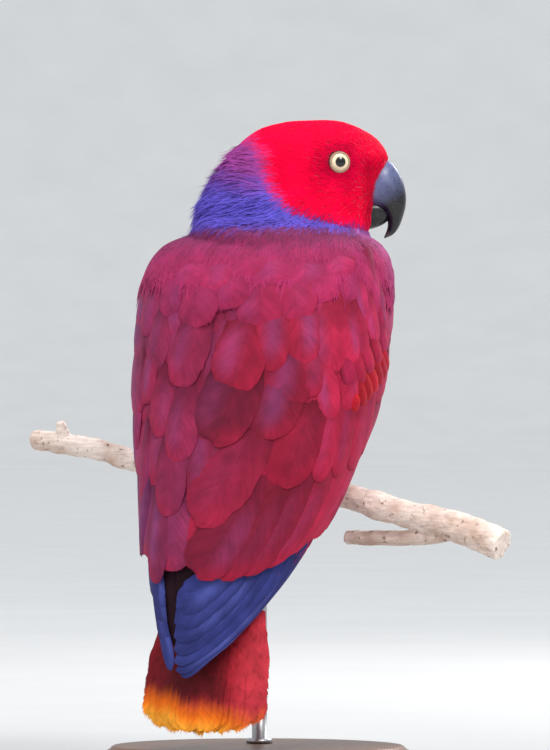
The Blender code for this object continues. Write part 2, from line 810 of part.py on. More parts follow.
def build_leg(label, side, foot, body):
    """The short feathered shank between the belly and the foot."""
    middle = side * FOOT_RIGHT
    up = perch_at(middle)[0] + 6.5
    route = [
        bird(middle, 3, 168),
        bird(middle, 8, 157),
        bird(middle, 13, up + 10),
        bird(middle, PERCH_FORWARD - 1, up + 2.5),
    ]
    leg = tube(f"leg_{label}", route, (8.5, 9.5, 7.4, 4.8), resolution=3)
    boolean(leg, [grown(foot), grown(body)], "DIFFERENCE", "MANIFOLD")
    return keep_largest(leg)


def build_stand(perch):
    bpy.ops.mesh.primitive_cylinder_add(
        vertices=36, radius=BASE_RADIUS, depth=BASE_THICK, location=(0, 0, BASE_THICK / 2)
    )
    base = bpy.context.active_object
    base.name = "stand_base"
    for group in list(base.users_collection):
        group.objects.unlink(base)
    linked(base)
    edge = base.modifiers.new("rounded_edge", "BEVEL")
    edge.width = BASE_EDGE
    edge.segments = 2
    edge.limit_method = "ANGLE"
    foot_up = (GAP - TAIL_CLEARANCE) / MM
    route = [bird(ROD_RIGHT, PERCH_FORWARD, up) for up in (foot_up, 60, perch_at(ROD_RIGHT)[0])]
    rod = tube("stand_rod", route, [ROD_RADIUS / MM] * 3, resolution=3)
    boolean(rod, [grown(perch)], "DIFFERENCE", "MANIFOLD")
    return base, keep_largest(rod)


def clear_scene():
    for obj in list(bpy.data.objects):
        bpy.data.objects.remove(obj)


COLLECTION = "eclectus_parrot"


def main():
    clear_scene()
    bpy.context.scene.collection.children.link(bpy.data.collections.new(COLLECTION))
    crimson = material("crimson_feather", (0.62, 0.01, 0.03), 0.75)
    maroon = material("maroon_feather", (0.28, 0.02, 0.06), 0.7)
    violet = material("violet_feather", (0.10, 0.05, 0.42), 0.75)
    tail_red = material("tail_feather", (0.45, 0.04, 0.03), 0.7)
    horn = material("black_horn", (0.02, 0.02, 0.025), 0.3)
    skin = material("grey_skin", (0.12, 0.11, 0.11), 0.6)
    iris = material("pale_iris", (0.75, 0.7, 0.45), 0.1)
    bark = material("pale_bark", (0.45, 0.33, 0.24), 0.85)
    steel = material("stand_steel", (0.35, 0.35, 0.36), 0.4, 1.0)
    wood = material("stand_wood", (0.12, 0.07, 0.04), 0.5)

    body = build_body()
    eyes = build_eyes()
    head = build_head(body, eyes)
    upper, lower = build_bill(head)
    neck = sliced(body, "neck", [(*HEAD_CUT, -1), (*NECK_CUT, 1)])
    torso = build_torso(body)
    tail = build_tail(body)
    perch = build_perch()
    wings = [build_wing(f"wing_{label}", side, body, perch) for label, side in SIDES]
    base, rod = build_stand(perch)
    finishes = [
        (head, crimson), (upper, horn), (lower, horn), (neck, violet), (torso, violet),
        (tail, tail_red), (perch, bark), (base, wood), (rod, steel),
    ]
    finishes += [(eye, iris) for eye in eyes]
    finishes += [(wing, maroon) for wing in wings]
    for label, side in SIDES:
        foot, claws = build_foot(label, side, perch, body)
        leg = build_leg(label, side, foot, body)
        finishes += [(foot, skin), (leg, violet)]
        finishes += [(claw, horn) for claw in claws]
    bpy.data.objects.remove(body)
    for obj, finish in finishes:
        obj.data.materials.clear()
        obj.data.materials.append(finish)
        obj.data.shade_smooth()
        obj.data.set_sharp_from_angle(angle=math.radians(40))


SIDES = (("right", 1), ("left", -1))

main()
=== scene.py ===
"""Looks of a life-size female eclectus parrot on a perch and stand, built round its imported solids.

Shapes are worked out in millimetres as right, forward and up from the tip of the tail, as the
solids are, and to_scene() turns them into metres. A feather is a closed thin vane of mesh. Each
vertex of it knows how far across and along its feather it lies, for barbs and shaft.
"""
import math

import bpy
import numpy as np
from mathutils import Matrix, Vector, noise
from mathutils.bvhtree import BVHTree


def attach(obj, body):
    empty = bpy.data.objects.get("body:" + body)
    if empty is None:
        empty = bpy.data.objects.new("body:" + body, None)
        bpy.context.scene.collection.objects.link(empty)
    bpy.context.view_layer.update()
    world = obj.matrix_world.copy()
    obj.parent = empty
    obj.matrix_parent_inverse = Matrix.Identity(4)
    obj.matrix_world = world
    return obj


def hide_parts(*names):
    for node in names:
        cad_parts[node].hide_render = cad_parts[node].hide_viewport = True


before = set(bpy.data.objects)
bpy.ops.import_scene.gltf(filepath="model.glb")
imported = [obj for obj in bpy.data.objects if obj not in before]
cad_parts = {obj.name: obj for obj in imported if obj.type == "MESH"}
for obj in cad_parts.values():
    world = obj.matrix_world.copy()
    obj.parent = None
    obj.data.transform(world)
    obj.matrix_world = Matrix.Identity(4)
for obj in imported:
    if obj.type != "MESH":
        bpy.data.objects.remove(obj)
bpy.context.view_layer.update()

MM = 0.001
# How high the tip of the tail stands over the foot of the stand, in millimetres
LIFT = 21.0
SEED = 11
SIDES = (("right", 1), ("left", -1))

# The photograph's frame: millimetres a pixel, and the pixel column and row of the bird's origin
PHOTO_SCALE = 0.53
PHOTO_X = 258
PHOTO_Y = 728
PHOTO_SIZE = (550, 750)
PHOTO_AZIMUTH = 210
# The camera's distance in metres, how much nearer the bird's back is in millimetres, and the sensor
CAMERA_AWAY = 4.0
BACK_NEARER = 48
SENSOR = 36.0

# The studio, in metres: the floor, the sky, and the lamps as name, how far behind the bird and how
# far to the right of it the camera sees them, height, size, power and colour
FLOOR_RADIUS = 12.0
FLOOR_CURVE = 3.5
# The paper's colour near the stand, darkened as painted shade, and far from it
PAPER_SHADED_NEAR = (0.5, 0.5, 0.495)
PAPER_FAR = (0.9, 0.9, 0.89)
SKY = (0.93, 0.96, 1.0, 1.0)
SKY_STRENGTH = 0.8
LAMPS = (
    ("key", -1.3, 0.8, 1.6, 0.8, 23.0, (1.0, 0.97, 0.95)),
    ("fill", -1.5, -1.2, 1.0, 1.6, 8.0, (0.94, 0.97, 1.0)),
    ("top", -0.1, 0.0, 1.9, 1.3, 15.0, (0.9, 0.95, 1.0)),
    ("rim", 1.2, 0.9, 1.1, 0.9, 14.0, (1.0, 0.98, 0.97)),
)
LAMP_AIM = 0.22

# Body sections as in the solids: up, centre right, centre forward, turn, front, back, half width
HEAD_TURN = 60
BODY = (
    (44, 5, -55.5, 0, 3, 1.0, 20),
    (55, 4, -52.5, 0, 6, 2.0, 22),
    (68, 2.5, -48.5, 0, 9.5, 6.0, 24),
    (80, 1, -44, 0, 13, 14, 27.5),
    (94, 0, -35, 0, 17.5, 27, 30),
    (108, 0, -27, 0, 19, 34, 35),
    (121, 0, -20, 0, 17, 40, 41),
    (131, 0, -15, 0, 15, 43.5, 46),
    (140, 0, -12, 0, 16.5, 45, 50),
    (150, 0, -8, 0, 27, 47, 54),
    (160, 0, -5, 0, 41, 47.5, 57),
    (174, 0, -1, 0, 51, 48.5, 60),
    (200, 0, 3.5, 0, 55.5, 50.5, 61),
    (225, 0, 8, 0, 54, 49, 59),
    (240, 0, 13, 0, 51, 47, 56.5),
    (248, 0, 16, 6, 48, 46, 53.5),
    (256, 1, 21, 22, 44, 47, 49),
    (263, 4, 30, 46, 39, 53, 42),
    (270, 7, 40, HEAD_TURN, 34.5, 60, 33.5),
    (278, 10.4, 42, HEAD_TURN, 31.5, 61.5, 29.5),
    (286, 13, 43.5, HEAD_TURN, 29.8, 60, 27.5),
    (294, 14.7, 44.5, HEAD_TURN, 30.5, 57.5, 26.5),
    (300, 15.6, 45, HEAD_TURN, 33, 54, 25.7),
    (305, 15.6, 45, HEAD_TURN, 33, 50.5, 24.5),
    (311, 15.6, 45, HEAD_TURN, 29.5, 46, 21.8),
    (316, 15.6, 45, HEAD_TURN, 24, 40, 18.2),
    (320, 15.6, 45, HEAD_TURN, 17, 32.5, 13.2),
    (323, 15.6, 45, HEAD_TURN, 8.5, 20, 6.5),
)
ROUNDNESS = 2.2
RING_CROWDING = 0.09
# The outline that the folded wings lie on, as sections like those of the body
WINGS = (
    (20, -4, -77, 0, 5, 5, 7),
    (33, -3.5, -71, 0, 9, 8, 14),
    (47, -1.5, -60, 0, 15, 14, 25),
    (68, 0.5, -46, 0, 27, 28, 37),
    (94, 0.5, -28, 0, 40, 44, 46),
    (121, 0.6, -16.5, 0, 46, 50, 53.5),
    (148, 0.7, -8, 0, 48, 54, 60.5),
    (174, 0.8, -1, 0, 53, 55, 66.2),
    (200, 0.8, 3.5, 0, 55, 56, 67),
    (227, 0.8, 8, 0, 54, 54, 66.2),
    (240, 0.5, 12, 0, 52, 52, 64),
    (253, 0, 17, 0, 48, 48, 60),
    (264, 0, 21, 0, 42, 42, 53),
)
# Front and back edge of a folded wing, in degrees round from the breast, by height
WING_EDGES = (
    (40, 92, 178),
    (60, 88, 176),
    (80, 82, 176),
    (100, 76, 180),
    (125, 70, 182),
    (150, 67, 182),
    (200, 62, 182),
    (235, 58, 182),
    (258, 60, 182),
)
# Where the wings' cores end, above and below, how deep they lie under the outline, and over how
# much height they ease in at the top
WING_TOP = 258
WING_SKIN_FOOT = 82
CORE_DROP = 2.6
CORE_EASE = 14
# How far from a wing's front edge the feathers turn in, how much they do, and the most
EDGE_REACH = 12
EDGE_DROP = 3.4
EDGE_MOST = 6.0

# Head and bill, as forward along the head's own heading, to its right side, and up
HEAD_CENTRE = (15.6, 45)
EYE_PLACE = (6.6, 20.8, 300.2)
EYE_RADIUS = 6.3
EYE_FORWARD_TURN = 12
PUPIL_RADIUS = 2.65
IRIS_RADIUS = 4.65
# What the back of an eyeball has for its distance from the axis, so that it stays dark
EYE_BEHIND = 9.0
LID_RADIUS = 5.1
LID_WIDTH = 0.5
LID_OUT = 4.1
# Sections of the upper bill: its ridge ahead and up, its inner face ahead and up, and half its width
BILL_UPPER = (
    (24, 301.5, 20, 284, 8.4),
    (33.7, 301.2, 21, 279, 9.0),
    (38.3, 296.8, 23, 277.4, 9.0),
    (41.4, 290.5, 25.5, 276.2, 8.6),
    (42.9, 283.5, 28.2, 275, 7.8),
    (42.7, 277, 30.6, 273.1, 6.6),
    (41.3, 271.4, 32.7, 270.4, 5.2),
    (39.3, 266.3, 33.2, 267.3, 3.8),
    (36.2, 262.2, 32.6, 264.2, 2.4),
    (31.6, 260, 31.2, 260.8, 0.9),
)
# Sections of the lower bill: ahead, its top, its bottom and half its width
BILL_LOWER = (
    (18, 279, 264.2, 7.4),
    (23, 280, 264.8, 7.5),
    (27.5, 280, 266, 6.9),
    (31, 278.5, 267.6, 5.8),
    (33.6, 276, 269.8, 4.0),
)
BILL_BASE = (30, 0, 284)
# The notch in the upper bill's cutting edge: its place and length as shares along, and its depth
NOTCH_PLACE = 0.62
NOTCH_LENGTH = 0.05
NOTCH_DEPTH = 0.9

# Perch, as right, up and radius along the branch, and its side shoots
PERCH_FORWARD = 17
PERCH_ROUTE = (
    (-150, 152, 5.2),
    (-138, 151, 5.6),
    (-130, 149.8, 5.8),
    (-108, 146.5, 5.5),
    (-87, 141, 5.7),
    (-60, 137.5, 6.0),
    (-38, 134.4, 6.4),
    (-24, 132.5, 6.5),
    (-9, 130.4, 6.5),
    (9, 128, 6.5),
    (24, 126, 6.5),
    (43, 123.5, 6.6),
    (62, 118.5, 6.9),
    (80, 114, 7.2),
    (102, 109.5, 7.6),
    (120, 104.5, 8.2),
    (138, 98, 8.4),
)
PERCH_STUBS = (
    ((-130, 17, 150), (-131, 15, 157), (-131, 13, 162), (4.2, 3.4, 2.2)),
    ((112, 18, 105), (84, 20, 101.5), (42, 21, 101), (4.6, 4.2, 3.7)),
    ((-96, 18, 142), (-80, 22, 136), (-64, 25, 129), (2.6, 2.2, 1.6)),
)
# Knots of the branch, as places to the right, and how they swell it
KNOTS = (-96, -47, 60, 112)
KNOT_SWELL = 0.12
KNOT_REACH = 4.0
BARK_VOXEL = 0.8
BARK_ROUGHNESS = 0.45
# Feet: how far to a side they stand. A toe has the degrees that it reaches round the branch from
# the top to the front, and its sideways place at root and end
FOOT_RIGHT = 24
TOE_RADIUS = 2.5
TOE_TIP_RADIUS = 2.0
CLAW_RADIUS = 1.8
TOES = ((128, 2.6, 5.5), (122, -2.6, -5.5), (-104, 2.4, 6.0), (-92, -2.4, -5.0))
CLAW_TURN = 36
# Half sizes of a foot's sole, and how high its middle lies over the bark
SOLE = (6.0, 6.2, 3.4)
SOLE_UP = 2.4
TO_RIGHT = (1.0, 0, 0)
TO_FRONT = (0, 1.0, 0)
BASE_THICK = 12
ROD_RIGHT = -9
# Profiles of the stand, as radius and height: the base over its foot, and the rod with its collar
# over the bird's lowest point
BASE_PROFILE = (
    (81.9, 0.4), (82, 2.5), (82, 7.0), (81.2, 8.6), (79.6, 9.6), (78.4, 10.0), (78.0, 10.9),
    (76.6, 11.8), (74.5, 12.0), (40, 12.0), (8, 12.0),
)
ROD_PROFILE = ((4.0, -8.7), (7.0, -8.6), (7.0, -7.2), (6.4, -6.4), (4.0, -6.2), (4.0, 20), (4.0, 80))
ROD_SUNK = 5

# Tail feathers, from the middle pair outwards: places of root and tip, how far the outermost lies
# to the side, their width, and how much deeper and shorter each pair lies
TAIL_PAIRS = 6
TAIL_ROOT = (3, -50, 66)
TAIL_TIP = (2.8, -62.5, 0)
TAIL_SPREAD = 23.6
TAIL_WIDTH = 29
TAIL_STEP = 0.6
TAIL_SHORTENING = 6.0
TAIL_GRID = (34, 23)
TAIL_THICK = 0.3
TAIL_BARBS = 340
TAIL_BARB_REACH = 1.8

# Where the red head ends, as ahead and up in the head's own frame, and where the violet ends
RED_EDGE = (
    (-41, 313), (-33.6, 305), (-31.6, 298.4), (-31, 291.8), (-27.6, 285), (-23, 278.5),
    (-16.4, 273.9), (-7, 270.6), (4.8, 267.9), (15.4, 264.6), (24, 261), (34, 250),
)
VIOLET_FOOT = 262

# The skin's grain, and how far apart the roots of the tufts lie on it
SKIN_VOXEL = 1.5
HEAD_SPACING = 0.64
NECK_SPACING = 0.92
BREAST_SPACING = 1.9
MANTLE_SPACING = 0.95
UNDER_SPACING = 1.5
BRISTLE_SPACING = 3.2

# How high the coat stands over the skin from the mantle up to the neck: places, then heights
MANTLE_HEIGHTS = ((212, 228, 238, 246, 254, 260, 266, 274), (6.3, 6.3, 6.3, 6.2, 5.6, 4.2, 2.8, 1.4))

# A tuft's rows as shares of its length, and their widths as shares of its widest
TUFT_SHARES = np.array([0.0, 0.28, 0.58, 0.84, 1.0])
TUFT_WIDTHS = np.array([0.62, 1.0, 0.82, 0.45, 0.0])

# Rows and columns of a vane, how far it lies over the wings' outline, and the faces of a loose barb
VANE_ROWS = 22
VANE_COLS = 9
OUTER = 1.2
SPIKE_FACES = np.array([(0, 2, 1, -1), (0, 1, 3, -1), (1, 2, 3, -1), (2, 0, 3, -1)])

# Tiers of wing feathers from the lowest layer up, as in the solids but denser: how many, then the
# first and the last feather as root and tip in degrees round and height, and width. Last come the
# heights of root and tip over the outline. The flight feathers differ by side
TIERS = (
    ("secondary", 12, (76, 150, 78, 107, 19), (168, 150, 170, 84, 27), -1.4, 0.0),
    ("greater", 10, (73, 188, 74, 142, 18), (166, 182, 174, 128, 28), -1.2, 0.4),
    ("median", 9, (70, 218, 71, 176, 18), (166, 214, 170, 160, 28), -1.0, 0.8),
    ("scapular", 9, (67, 240, 68, 206, 17), (164, 236, 170, 190, 26), -0.8, 1.2),
    ("lesser_low", 10, (65, 250, 66, 226, 14), (160, 250, 166, 204, 22), -1.0, 1.6),
    ("lesser_high", 10, (66, 252, 66, 234, 13), (156, 254, 162, 222, 20), -2.6, 1.9),
)
PRIMARIES = {
    1: ("primary", 6, (84, 108, 130, 60, 14), (112, 112, 160, 66, 14), -3.6, -2.4),
    -1: ("primary", 6, (90, 108, 142, 72, 14), (120, 112, 149, 68, 14), -3.6, -2.4),
}

# The blue flight feathers, as the photograph shows them, from the uppermost down: tip, root,
# sideways bend and width in its pixels
SHOWN_PRIMARIES = (
    (175, 606, 262, 508, 14, 36), (173, 621, 272, 513, 16, 34), (172, 635, 282, 517, 18, 34),
    (172, 647, 291, 520, 20, 32), (172, 658, 299, 524, 22, 30), (174, 667, 306, 528, 24, 28),
    (179, 672, 313, 532, 24, 26),
)
SHOWN_LEFT_PRIMARIES = (
    (159, 614, 155, 530, -1, 18), (161, 632, 153, 538, -3, 18), (164, 650, 151, 545, -6, 18),
    (169, 668, 150, 552, -8, 17),
)

# The feathers that the photograph shows on the back, in its pixels: tip, root, sideways bend and
# width, and for some how bright they are. Each group has a side, a root height, a tip height and
# how much lower each next one lies
SHOWN = (
    ("shown_spine", 1, -1.2, 0.4, 0, (
        (196, 500, 204, 415, 0, 44), (203, 460, 210, 380, 0, 46), (206, 425, 212, 345, 0, 46),
        (206, 390, 212, 310, 0, 44), (205, 350, 211, 275, 0, 40),
    )),
    ("shown_secondary", 1, -0.2, 1.0, 0.18, (
        (198, 575, 262, 468, 4, 56, 0.76), (220, 576, 288, 452, 12, 44, 0.8),
        (240, 571, 312, 438, 18, 40, 0.95), (258, 563, 334, 424, 22, 36, 1.15),
        (275, 553, 352, 412, 24, 32, 1.25), (291, 543, 365, 402, 22, 30, 1.3),
        (306, 530, 375, 394, 18, 28, 1.3), (322, 514, 382, 386, 13, 26, 1.2),
        (340, 495, 387, 378, 8, 24, 1.1), (355, 472, 390, 370, 4, 22, 0.95),
    )),
    ("shown_greater", 1, 0.1, 1.3, 0, (
        (358, 454, 368, 385, 2, 20, 1.1), (349, 469, 358, 398, 3, 22, 1.1),
        (334, 476, 345, 398, 3, 24, 0.95), (316, 481, 330, 405, 3, 26, 1.1),
        (281, 487, 308, 400, 4, 54, 0.58), (198, 523, 246, 432, 10, 60, 0.9),
    )),
    ("shown_median", 1, 0.6, 1.9, 0, (
        (345, 410, 348, 350, 1, 22, 1.1), (330, 420, 320, 360, 0, 23, 1.25),
        (306, 399, 308, 345, 1, 34, 0.95), (268, 440, 285, 365, 2, 50, 0.8),
        (280, 416, 291, 345, 1, 50, 0.66), (216, 445, 242, 360, 5, 62, 0.7),
    )),
    ("shown_scapular", 1, 1.1, 2.4, 0, (
        (353, 330, 350, 285, 0, 26, 1.15), (330, 372, 326, 310, 0, 34, 1.2),
        (302, 368, 298, 302, 0, 36, 1.0), (270, 372, 270, 305, 0, 42, 1.0),
        (232, 392, 250, 322, 4, 54, 0.95),
    )),
    ("shown_lesser", 1, 1.6, 2.2, 0.05, (
        (383, 370, 374, 334, 2, 11), (381, 378, 371, 342, 2, 11), (377, 384, 366, 348, 2, 12),
        (372, 391, 360, 356, 2, 13), (366, 398, 354, 362, 2, 13), (360, 405, 348, 368, 2, 13),
        (352, 411, 342, 372, 2, 14),
    )),
    ("shown_lesser_high", 1, 2.0, 2.7, 0.05, (
        (380, 352, 372, 312, 1, 14, 0.9), (374, 364, 364, 326, 1, 14, 1.2), (366, 374, 356, 334, 1, 15, 1.1),
        (357, 384, 347, 342, 1, 16, 1.2), (347, 388, 340, 346, 1, 17, 1.1),
    )),
    ("shown_bright_high", 1, 2.4, 3.1, 0.05, (
        (379, 334, 372, 290, 1, 15, 1.0), (371, 344, 362, 302, 1, 17, 1.3), (360, 356, 350, 310, 1, 18, 1.0),
        (349, 364, 341, 318, 1, 20, 1.25), (374, 316, 366, 272, 1, 17, 1.15),
        (361, 326, 352, 282, 1, 19, 1.3),
    )),
    # A near-black vane of painted shade in the slit at the right wing's bend
    ("shown_slit_right", 1, 3.4, 3.7, 0, ((381, 364, 376, 312, 3, 6),)),
    ("shown_bend_orange", 1, 0.2, 1.6, 0.1, ((388, 376, 388, 330, 0, 12), (389, 364, 389, 316, 0, 11))),
    ("shown_mantle", 1, -1.4, 2.7, 0, (
        (366, 298, 358, 258, 0, 24), (349, 309, 341, 262, 0, 30), (322, 304, 317, 258, 0, 38),
        (296, 325, 294, 270, 0, 42), (262, 331, 262, 275, 0, 48), (232, 311, 233, 258, 0, 50),
        (200, 330, 200, 272, 0, 46),
    )),
    ("shown_mantle_high", 1, -2.4, 3.0, 0, (
        (338, 280, 333, 246, 0, 34), (306, 291, 303, 250, 0, 42), (274, 288, 272, 248, 0, 46),
        (247, 282, 247, 246, 0, 44), (214, 296, 216, 252, 0, 44), (188, 291, 192, 250, 0, 40),
    )),
    ("shown_left_low", -1, -0.6, 0.8, 0, (
        (143, 556, 150, 480, 0, 18, 0.75), (157, 583, 164, 497, 0, 30, 0.9),
    )),
    ("shown_left_greater", -1, 0.1, 1.2, 0, ((145, 505, 150, 440, 0, 18), (170, 517, 174, 447, 0, 38))),
    ("shown_left_median", -1, 0.6, 1.7, 0, (
        (140, 450, 143, 395, 0, 14), (163, 438, 168, 380, 0, 36), (180, 463, 187, 398, 0, 38),
    )),
    ("shown_left_scapular", -1, 1.1, 2.3, 0, (
        (144, 413, 147, 365, 0, 14), (150, 405, 157, 352, 0, 22), (157, 371, 168, 316, 0, 32),
        (181, 387, 198, 322, 2, 42),
    )),
    ("shown_left_mantle", -1, -0.4, 2.7, 0, ((150, 337, 158, 290, 0, 22), (171, 318, 182, 270, 0, 32))),
    # Near-black vanes of painted shade in the dark gaps by the wings' tips
    ("shown_dark", -1, -3.4, -3.3, 0.1, ((172, 644, 176, 540, 0, 40),)),
    ("shown_dark_left", -1, -2.4, -2.3, 0.1, ((163, 606, 163, 530, 0, 26),)),
)

# How far a tucked feather runs on under the layer above, as a share, and its highest pixel row
TUCK = 0.5
HIGHEST_ROOT = 245


def linear(red, green, blue):
    """A screen colour of 0 to 255 as linear light."""
    share = np.array([red, green, blue], float) / 255
    return np.where(share <= 0.04045, share / 12.92, ((share + 0.055) / 1.055) ** 2.4)


CRIMSON = linear(240, 0, 54)
# Painted shade in deep crimson, round the eyes
CRIMSON_EYE_SHADE = linear(176, 0, 48)
PLUM = linear(158, 62, 134)
VIOLET = linear(92, 80, 186)
COLLAR = linear(112, 10, 66)
MANTLE_DARK = linear(112, 36, 76)
VIOLET_DARK = linear(62, 48, 136)
MANTLE = linear(156, 38, 84)
# Painted rim highlight in lavender, for the sides of the breast
RIM_LIGHT_LAVENDER = linear(184, 92, 148)
MAROON_RED = linear(158, 30, 60)
MAROON_DEEP = linear(122, 24, 48)
MAROON_PURPLE = linear(122, 38, 74)
DEEP_RED = linear(150, 14, 30)
PINK_EDGE = linear(176, 28, 60)
COOL_PLUM = linear(132, 62, 112)
ORANGE_RED = linear(222, 48, 38)
BLUE = linear(50, 56, 120)
BLUE_LIGHT = linear(84, 92, 166)
BLUE_DARK = linear(26, 24, 62)
# Painted shade: the near-black of vanes laid in deep gaps
DARK = linear(30, 8, 16)
BELLY = linear(98, 66, 160)
TAIL_RED = linear(164, 30, 44)
# Painted light: the pinker red of the tail's lit right side
TAIL_LIT_PINK = linear(188, 50, 62)
TAIL_DARK = linear(84, 16, 24)
TAIL_ORANGE = linear(236, 108, 16)
TAIL_YELLOW = linear(244, 160, 48)
VENT = linear(226, 112, 40)
BRISTLE = linear(226, 84, 116)
# Painted sky reflection: the blue-grey sheen over the bill's base
HORN_SKY_SHEEN = linear(112, 122, 172)
HORN_BLACK = linear(17, 16, 19)
HORN_TIP = linear(112, 102, 98)
HORN_WORN = linear(110, 108, 112)
IRIS_CREAM = linear(246, 232, 196)
IRIS_RAY = linear(206, 178, 132)
IRIS_RIM = linear(158, 138, 104)
IRIS_INNER = linear(120, 104, 74)
PUPIL = linear(5, 5, 8)
EYE_BACK = linear(62, 44, 40)
BARK_PALE = linear(240, 222, 210)
BARK_BROWN = linear(198, 168, 150)
BARK_FLECK = linear(112, 78, 56)
WOOD_DARK = linear(64, 38, 24)
WOOD_LIGHT = linear(112, 72, 46)
STEEL_DARK = linear(150, 151, 153)
STEEL_LIGHT = linear(188, 188, 190)


def full_turn(count):
    """Even angles once round, in radians."""
    return np.arange(count) * 2 * math.pi / count


def to_scene(points):
    """Points in the bird's millimetres as metres in the scene."""
    points = np.asarray(points, float)
    return np.stack([-points[..., 0], -points[..., 1], points[..., 2] + LIFT], -1) * MM


def step_up(value, low, high):
    """0 below low, 1 above high and smooth between them. It falls where low is above high."""
    t = np.clip((value - low) / (high - low), 0.0, 1.0)
    return t * t * (3 - 2 * t)


def mixed(first, second, share):
    """Colours or points between two, where share is 0 to 1."""
    share = np.asarray(share, float)[..., None]
    return first * (1 - share) + second * share


def unit(vectors):
    """Vectors at a length of one."""
    return vectors / np.maximum(np.linalg.norm(vectors, axis=-1, keepdims=True), 1e-9)


def at_height(rows, up):
    """Reads a table of rows at heights, along a smooth curve through the rows."""
    table = np.array(rows, float)
    up = np.asarray(up, float)
    last = len(table) - 1
    i = np.clip(np.searchsorted(table[:, 0], up) - 1, 0, last - 1)
    before, low = table[np.maximum(i - 1, 0)], table[i]
    high, after = table[i + 1], table[np.minimum(i + 2, last)]
    span = high[..., :1] - low[..., :1]
    t = np.clip((up[..., None] - low[..., :1]) / span, 0.0, 1.0)
    slope_low = (high - before) / (high[..., :1] - before[..., :1]) * span
    slope_high = (after - low) / (after[..., :1] - low[..., :1]) * span
    made = (2 * t**3 - 3 * t**2 + 1) * low + (t**3 - 2 * t**2 + t) * slope_low
    made += (3 * t**2 - 2 * t**3) * high + (t**3 - t**2) * slope_high
    return made[..., 1:]


def section_point(rows, up, degrees):
    """Points on level sections, at angles round from their front to their right side."""
    up, degrees = np.broadcast_arrays(np.asarray(up, float), np.asarray(degrees, float))
    right, forward, turn, front, back, half = np.moveaxis(at_height(rows, up), -1, 0)
    along, across = np.cos(np.radians(degrees)), np.sin(np.radians(degrees))
    power = 2 / ROUNDNESS
    ahead = np.sign(along) * np.abs(along) ** power * np.where(along > 0, front, back)
    side = np.sign(across) * np.abs(across) ** power * half
    sine, cosine = np.sin(np.radians(turn)), np.cos(np.radians(turn))
    return np.stack(
        [right + ahead * sine + side * cosine, forward + ahead * cosine - side * sine, up], -1
    )


def wing_normal(degrees, up):
    """Outward directions over the folded wings' outline."""
    step = 0.5
    round_it = section_point(WINGS, up, degrees + step) - section_point(WINGS, up, degrees - step)
    up_it = section_point(WINGS, up + step, degrees) - section_point(WINGS, up - step, degrees)
    normal = unit(np.cross(round_it, up_it))
    centre = at_height(WINGS, up)[..., :2]
    outward = section_point(WINGS, up, degrees)[..., :2] - centre
    facing = np.sum(normal[..., :2] * outward, -1)
    return normal * np.where(facing < 0, -1.0, 1.0)[..., None]


def wing_point(degrees, up, height):
    """Points over the folded wings' outline, height in millimetres outwards."""
    return section_point(WINGS, up, degrees) + wing_normal(degrees, up) * height[..., None]


def edge_drop(degrees, up):
    """How far the feathers turn in over a wing's front edge."""
    near = at_height(WING_EDGES, up)[..., 0] + EDGE_REACH - degrees
    return np.minimum(EDGE_DROP * (np.maximum(near, 0.0) / EDGE_REACH) ** 2, EDGE_MOST)


def head_frame():
    """The head's heading and its right side as level directions."""
    turn = math.radians(HEAD_TURN)
    sine, cosine = math.sin(turn), math.cos(turn)
    return np.array([sine, cosine, 0]), np.array([cosine, -sine, 0])


def head_point(ahead, side, up):
    """Points given along the head's own heading, to its right side, and up."""
    heading, across = head_frame()
    ahead, side, up = np.broadcast_arrays(*(np.asarray(v, float) for v in (ahead, side, up)))
    made = ahead[..., None] * heading + side[..., None] * across
    made[..., 0] += HEAD_CENTRE[0]
    made[..., 1] += HEAD_CENTRE[1]
    made[..., 2] = up
    return made


def in_head(points):
    """How far ahead, to the right side and up points lie in the head's own frame."""
    heading, across = head_frame()
    level = points - np.array([*HEAD_CENTRE, 0.0])
    return level @ heading, level @ across, points[..., 2]


def eye_axis(side):
    """The way that the eye on a side looks."""
    heading, across = head_frame()
    turn = math.radians(EYE_FORWARD_TURN)
    return heading * math.sin(turn) + across * side * math.cos(turn)


def eye_centre(side):
    """The middle of the eyeball on a side."""
    return head_point(EYE_PLACE[0], side * EYE_PLACE[1], EYE_PLACE[2])


def from_eye(points, side):
    """How far points lie along the axis of the eye on a side, and from that axis."""
    away = points - eye_centre(side)
    along = away @ eye_axis(side)
    return along, np.linalg.norm(away - along[..., None] * eye_axis(side), axis=-1)


def from_picture(x, y):
    """Places on the wings' outline seen at pixels of the photograph, as degrees and height."""
    x, y = np.broadcast_arrays(np.asarray(x, float), np.asarray(y, float))
    nearer = 1 - BACK_NEARER / (CAMERA_AWAY / MM)
    middle_x, middle_y = PHOTO_SIZE[0] / 2, PHOTO_SIZE[1] / 2
    x, y = middle_x + (x - middle_x) * nearer, middle_y + (y - middle_y) * nearer
    up = (PHOTO_Y - y) * PHOTO_SCALE
    turn = math.radians(PHOTO_AZIMUTH - 180)
    seen = np.arange(60.0, 240.5, 0.5)
    spots = section_point(WINGS, up[..., None], seen)
    across = spots[..., 0] * math.cos(turn) + spots[..., 1] * math.sin(turn)
    wanted = (x - PHOTO_X) * PHOTO_SCALE
    near = np.argmin(np.abs(across - wanted[..., None]), -1)
    return seen[near], up


def inside_red(ahead, up):
    """How far inside the edge of the red head places lie, in millimetres."""
    edge_ahead, edge_up = np.array(RED_EDGE).T
    above = up - np.interp(ahead, edge_ahead, edge_up)
    before = ahead - np.interp(-up, -edge_up, edge_ahead)
    sign = np.where((above > 0) & (before > 0), 1.0, -1.0)
    return sign * np.abs(above * before) / np.maximum(np.hypot(above, before), 0.01)


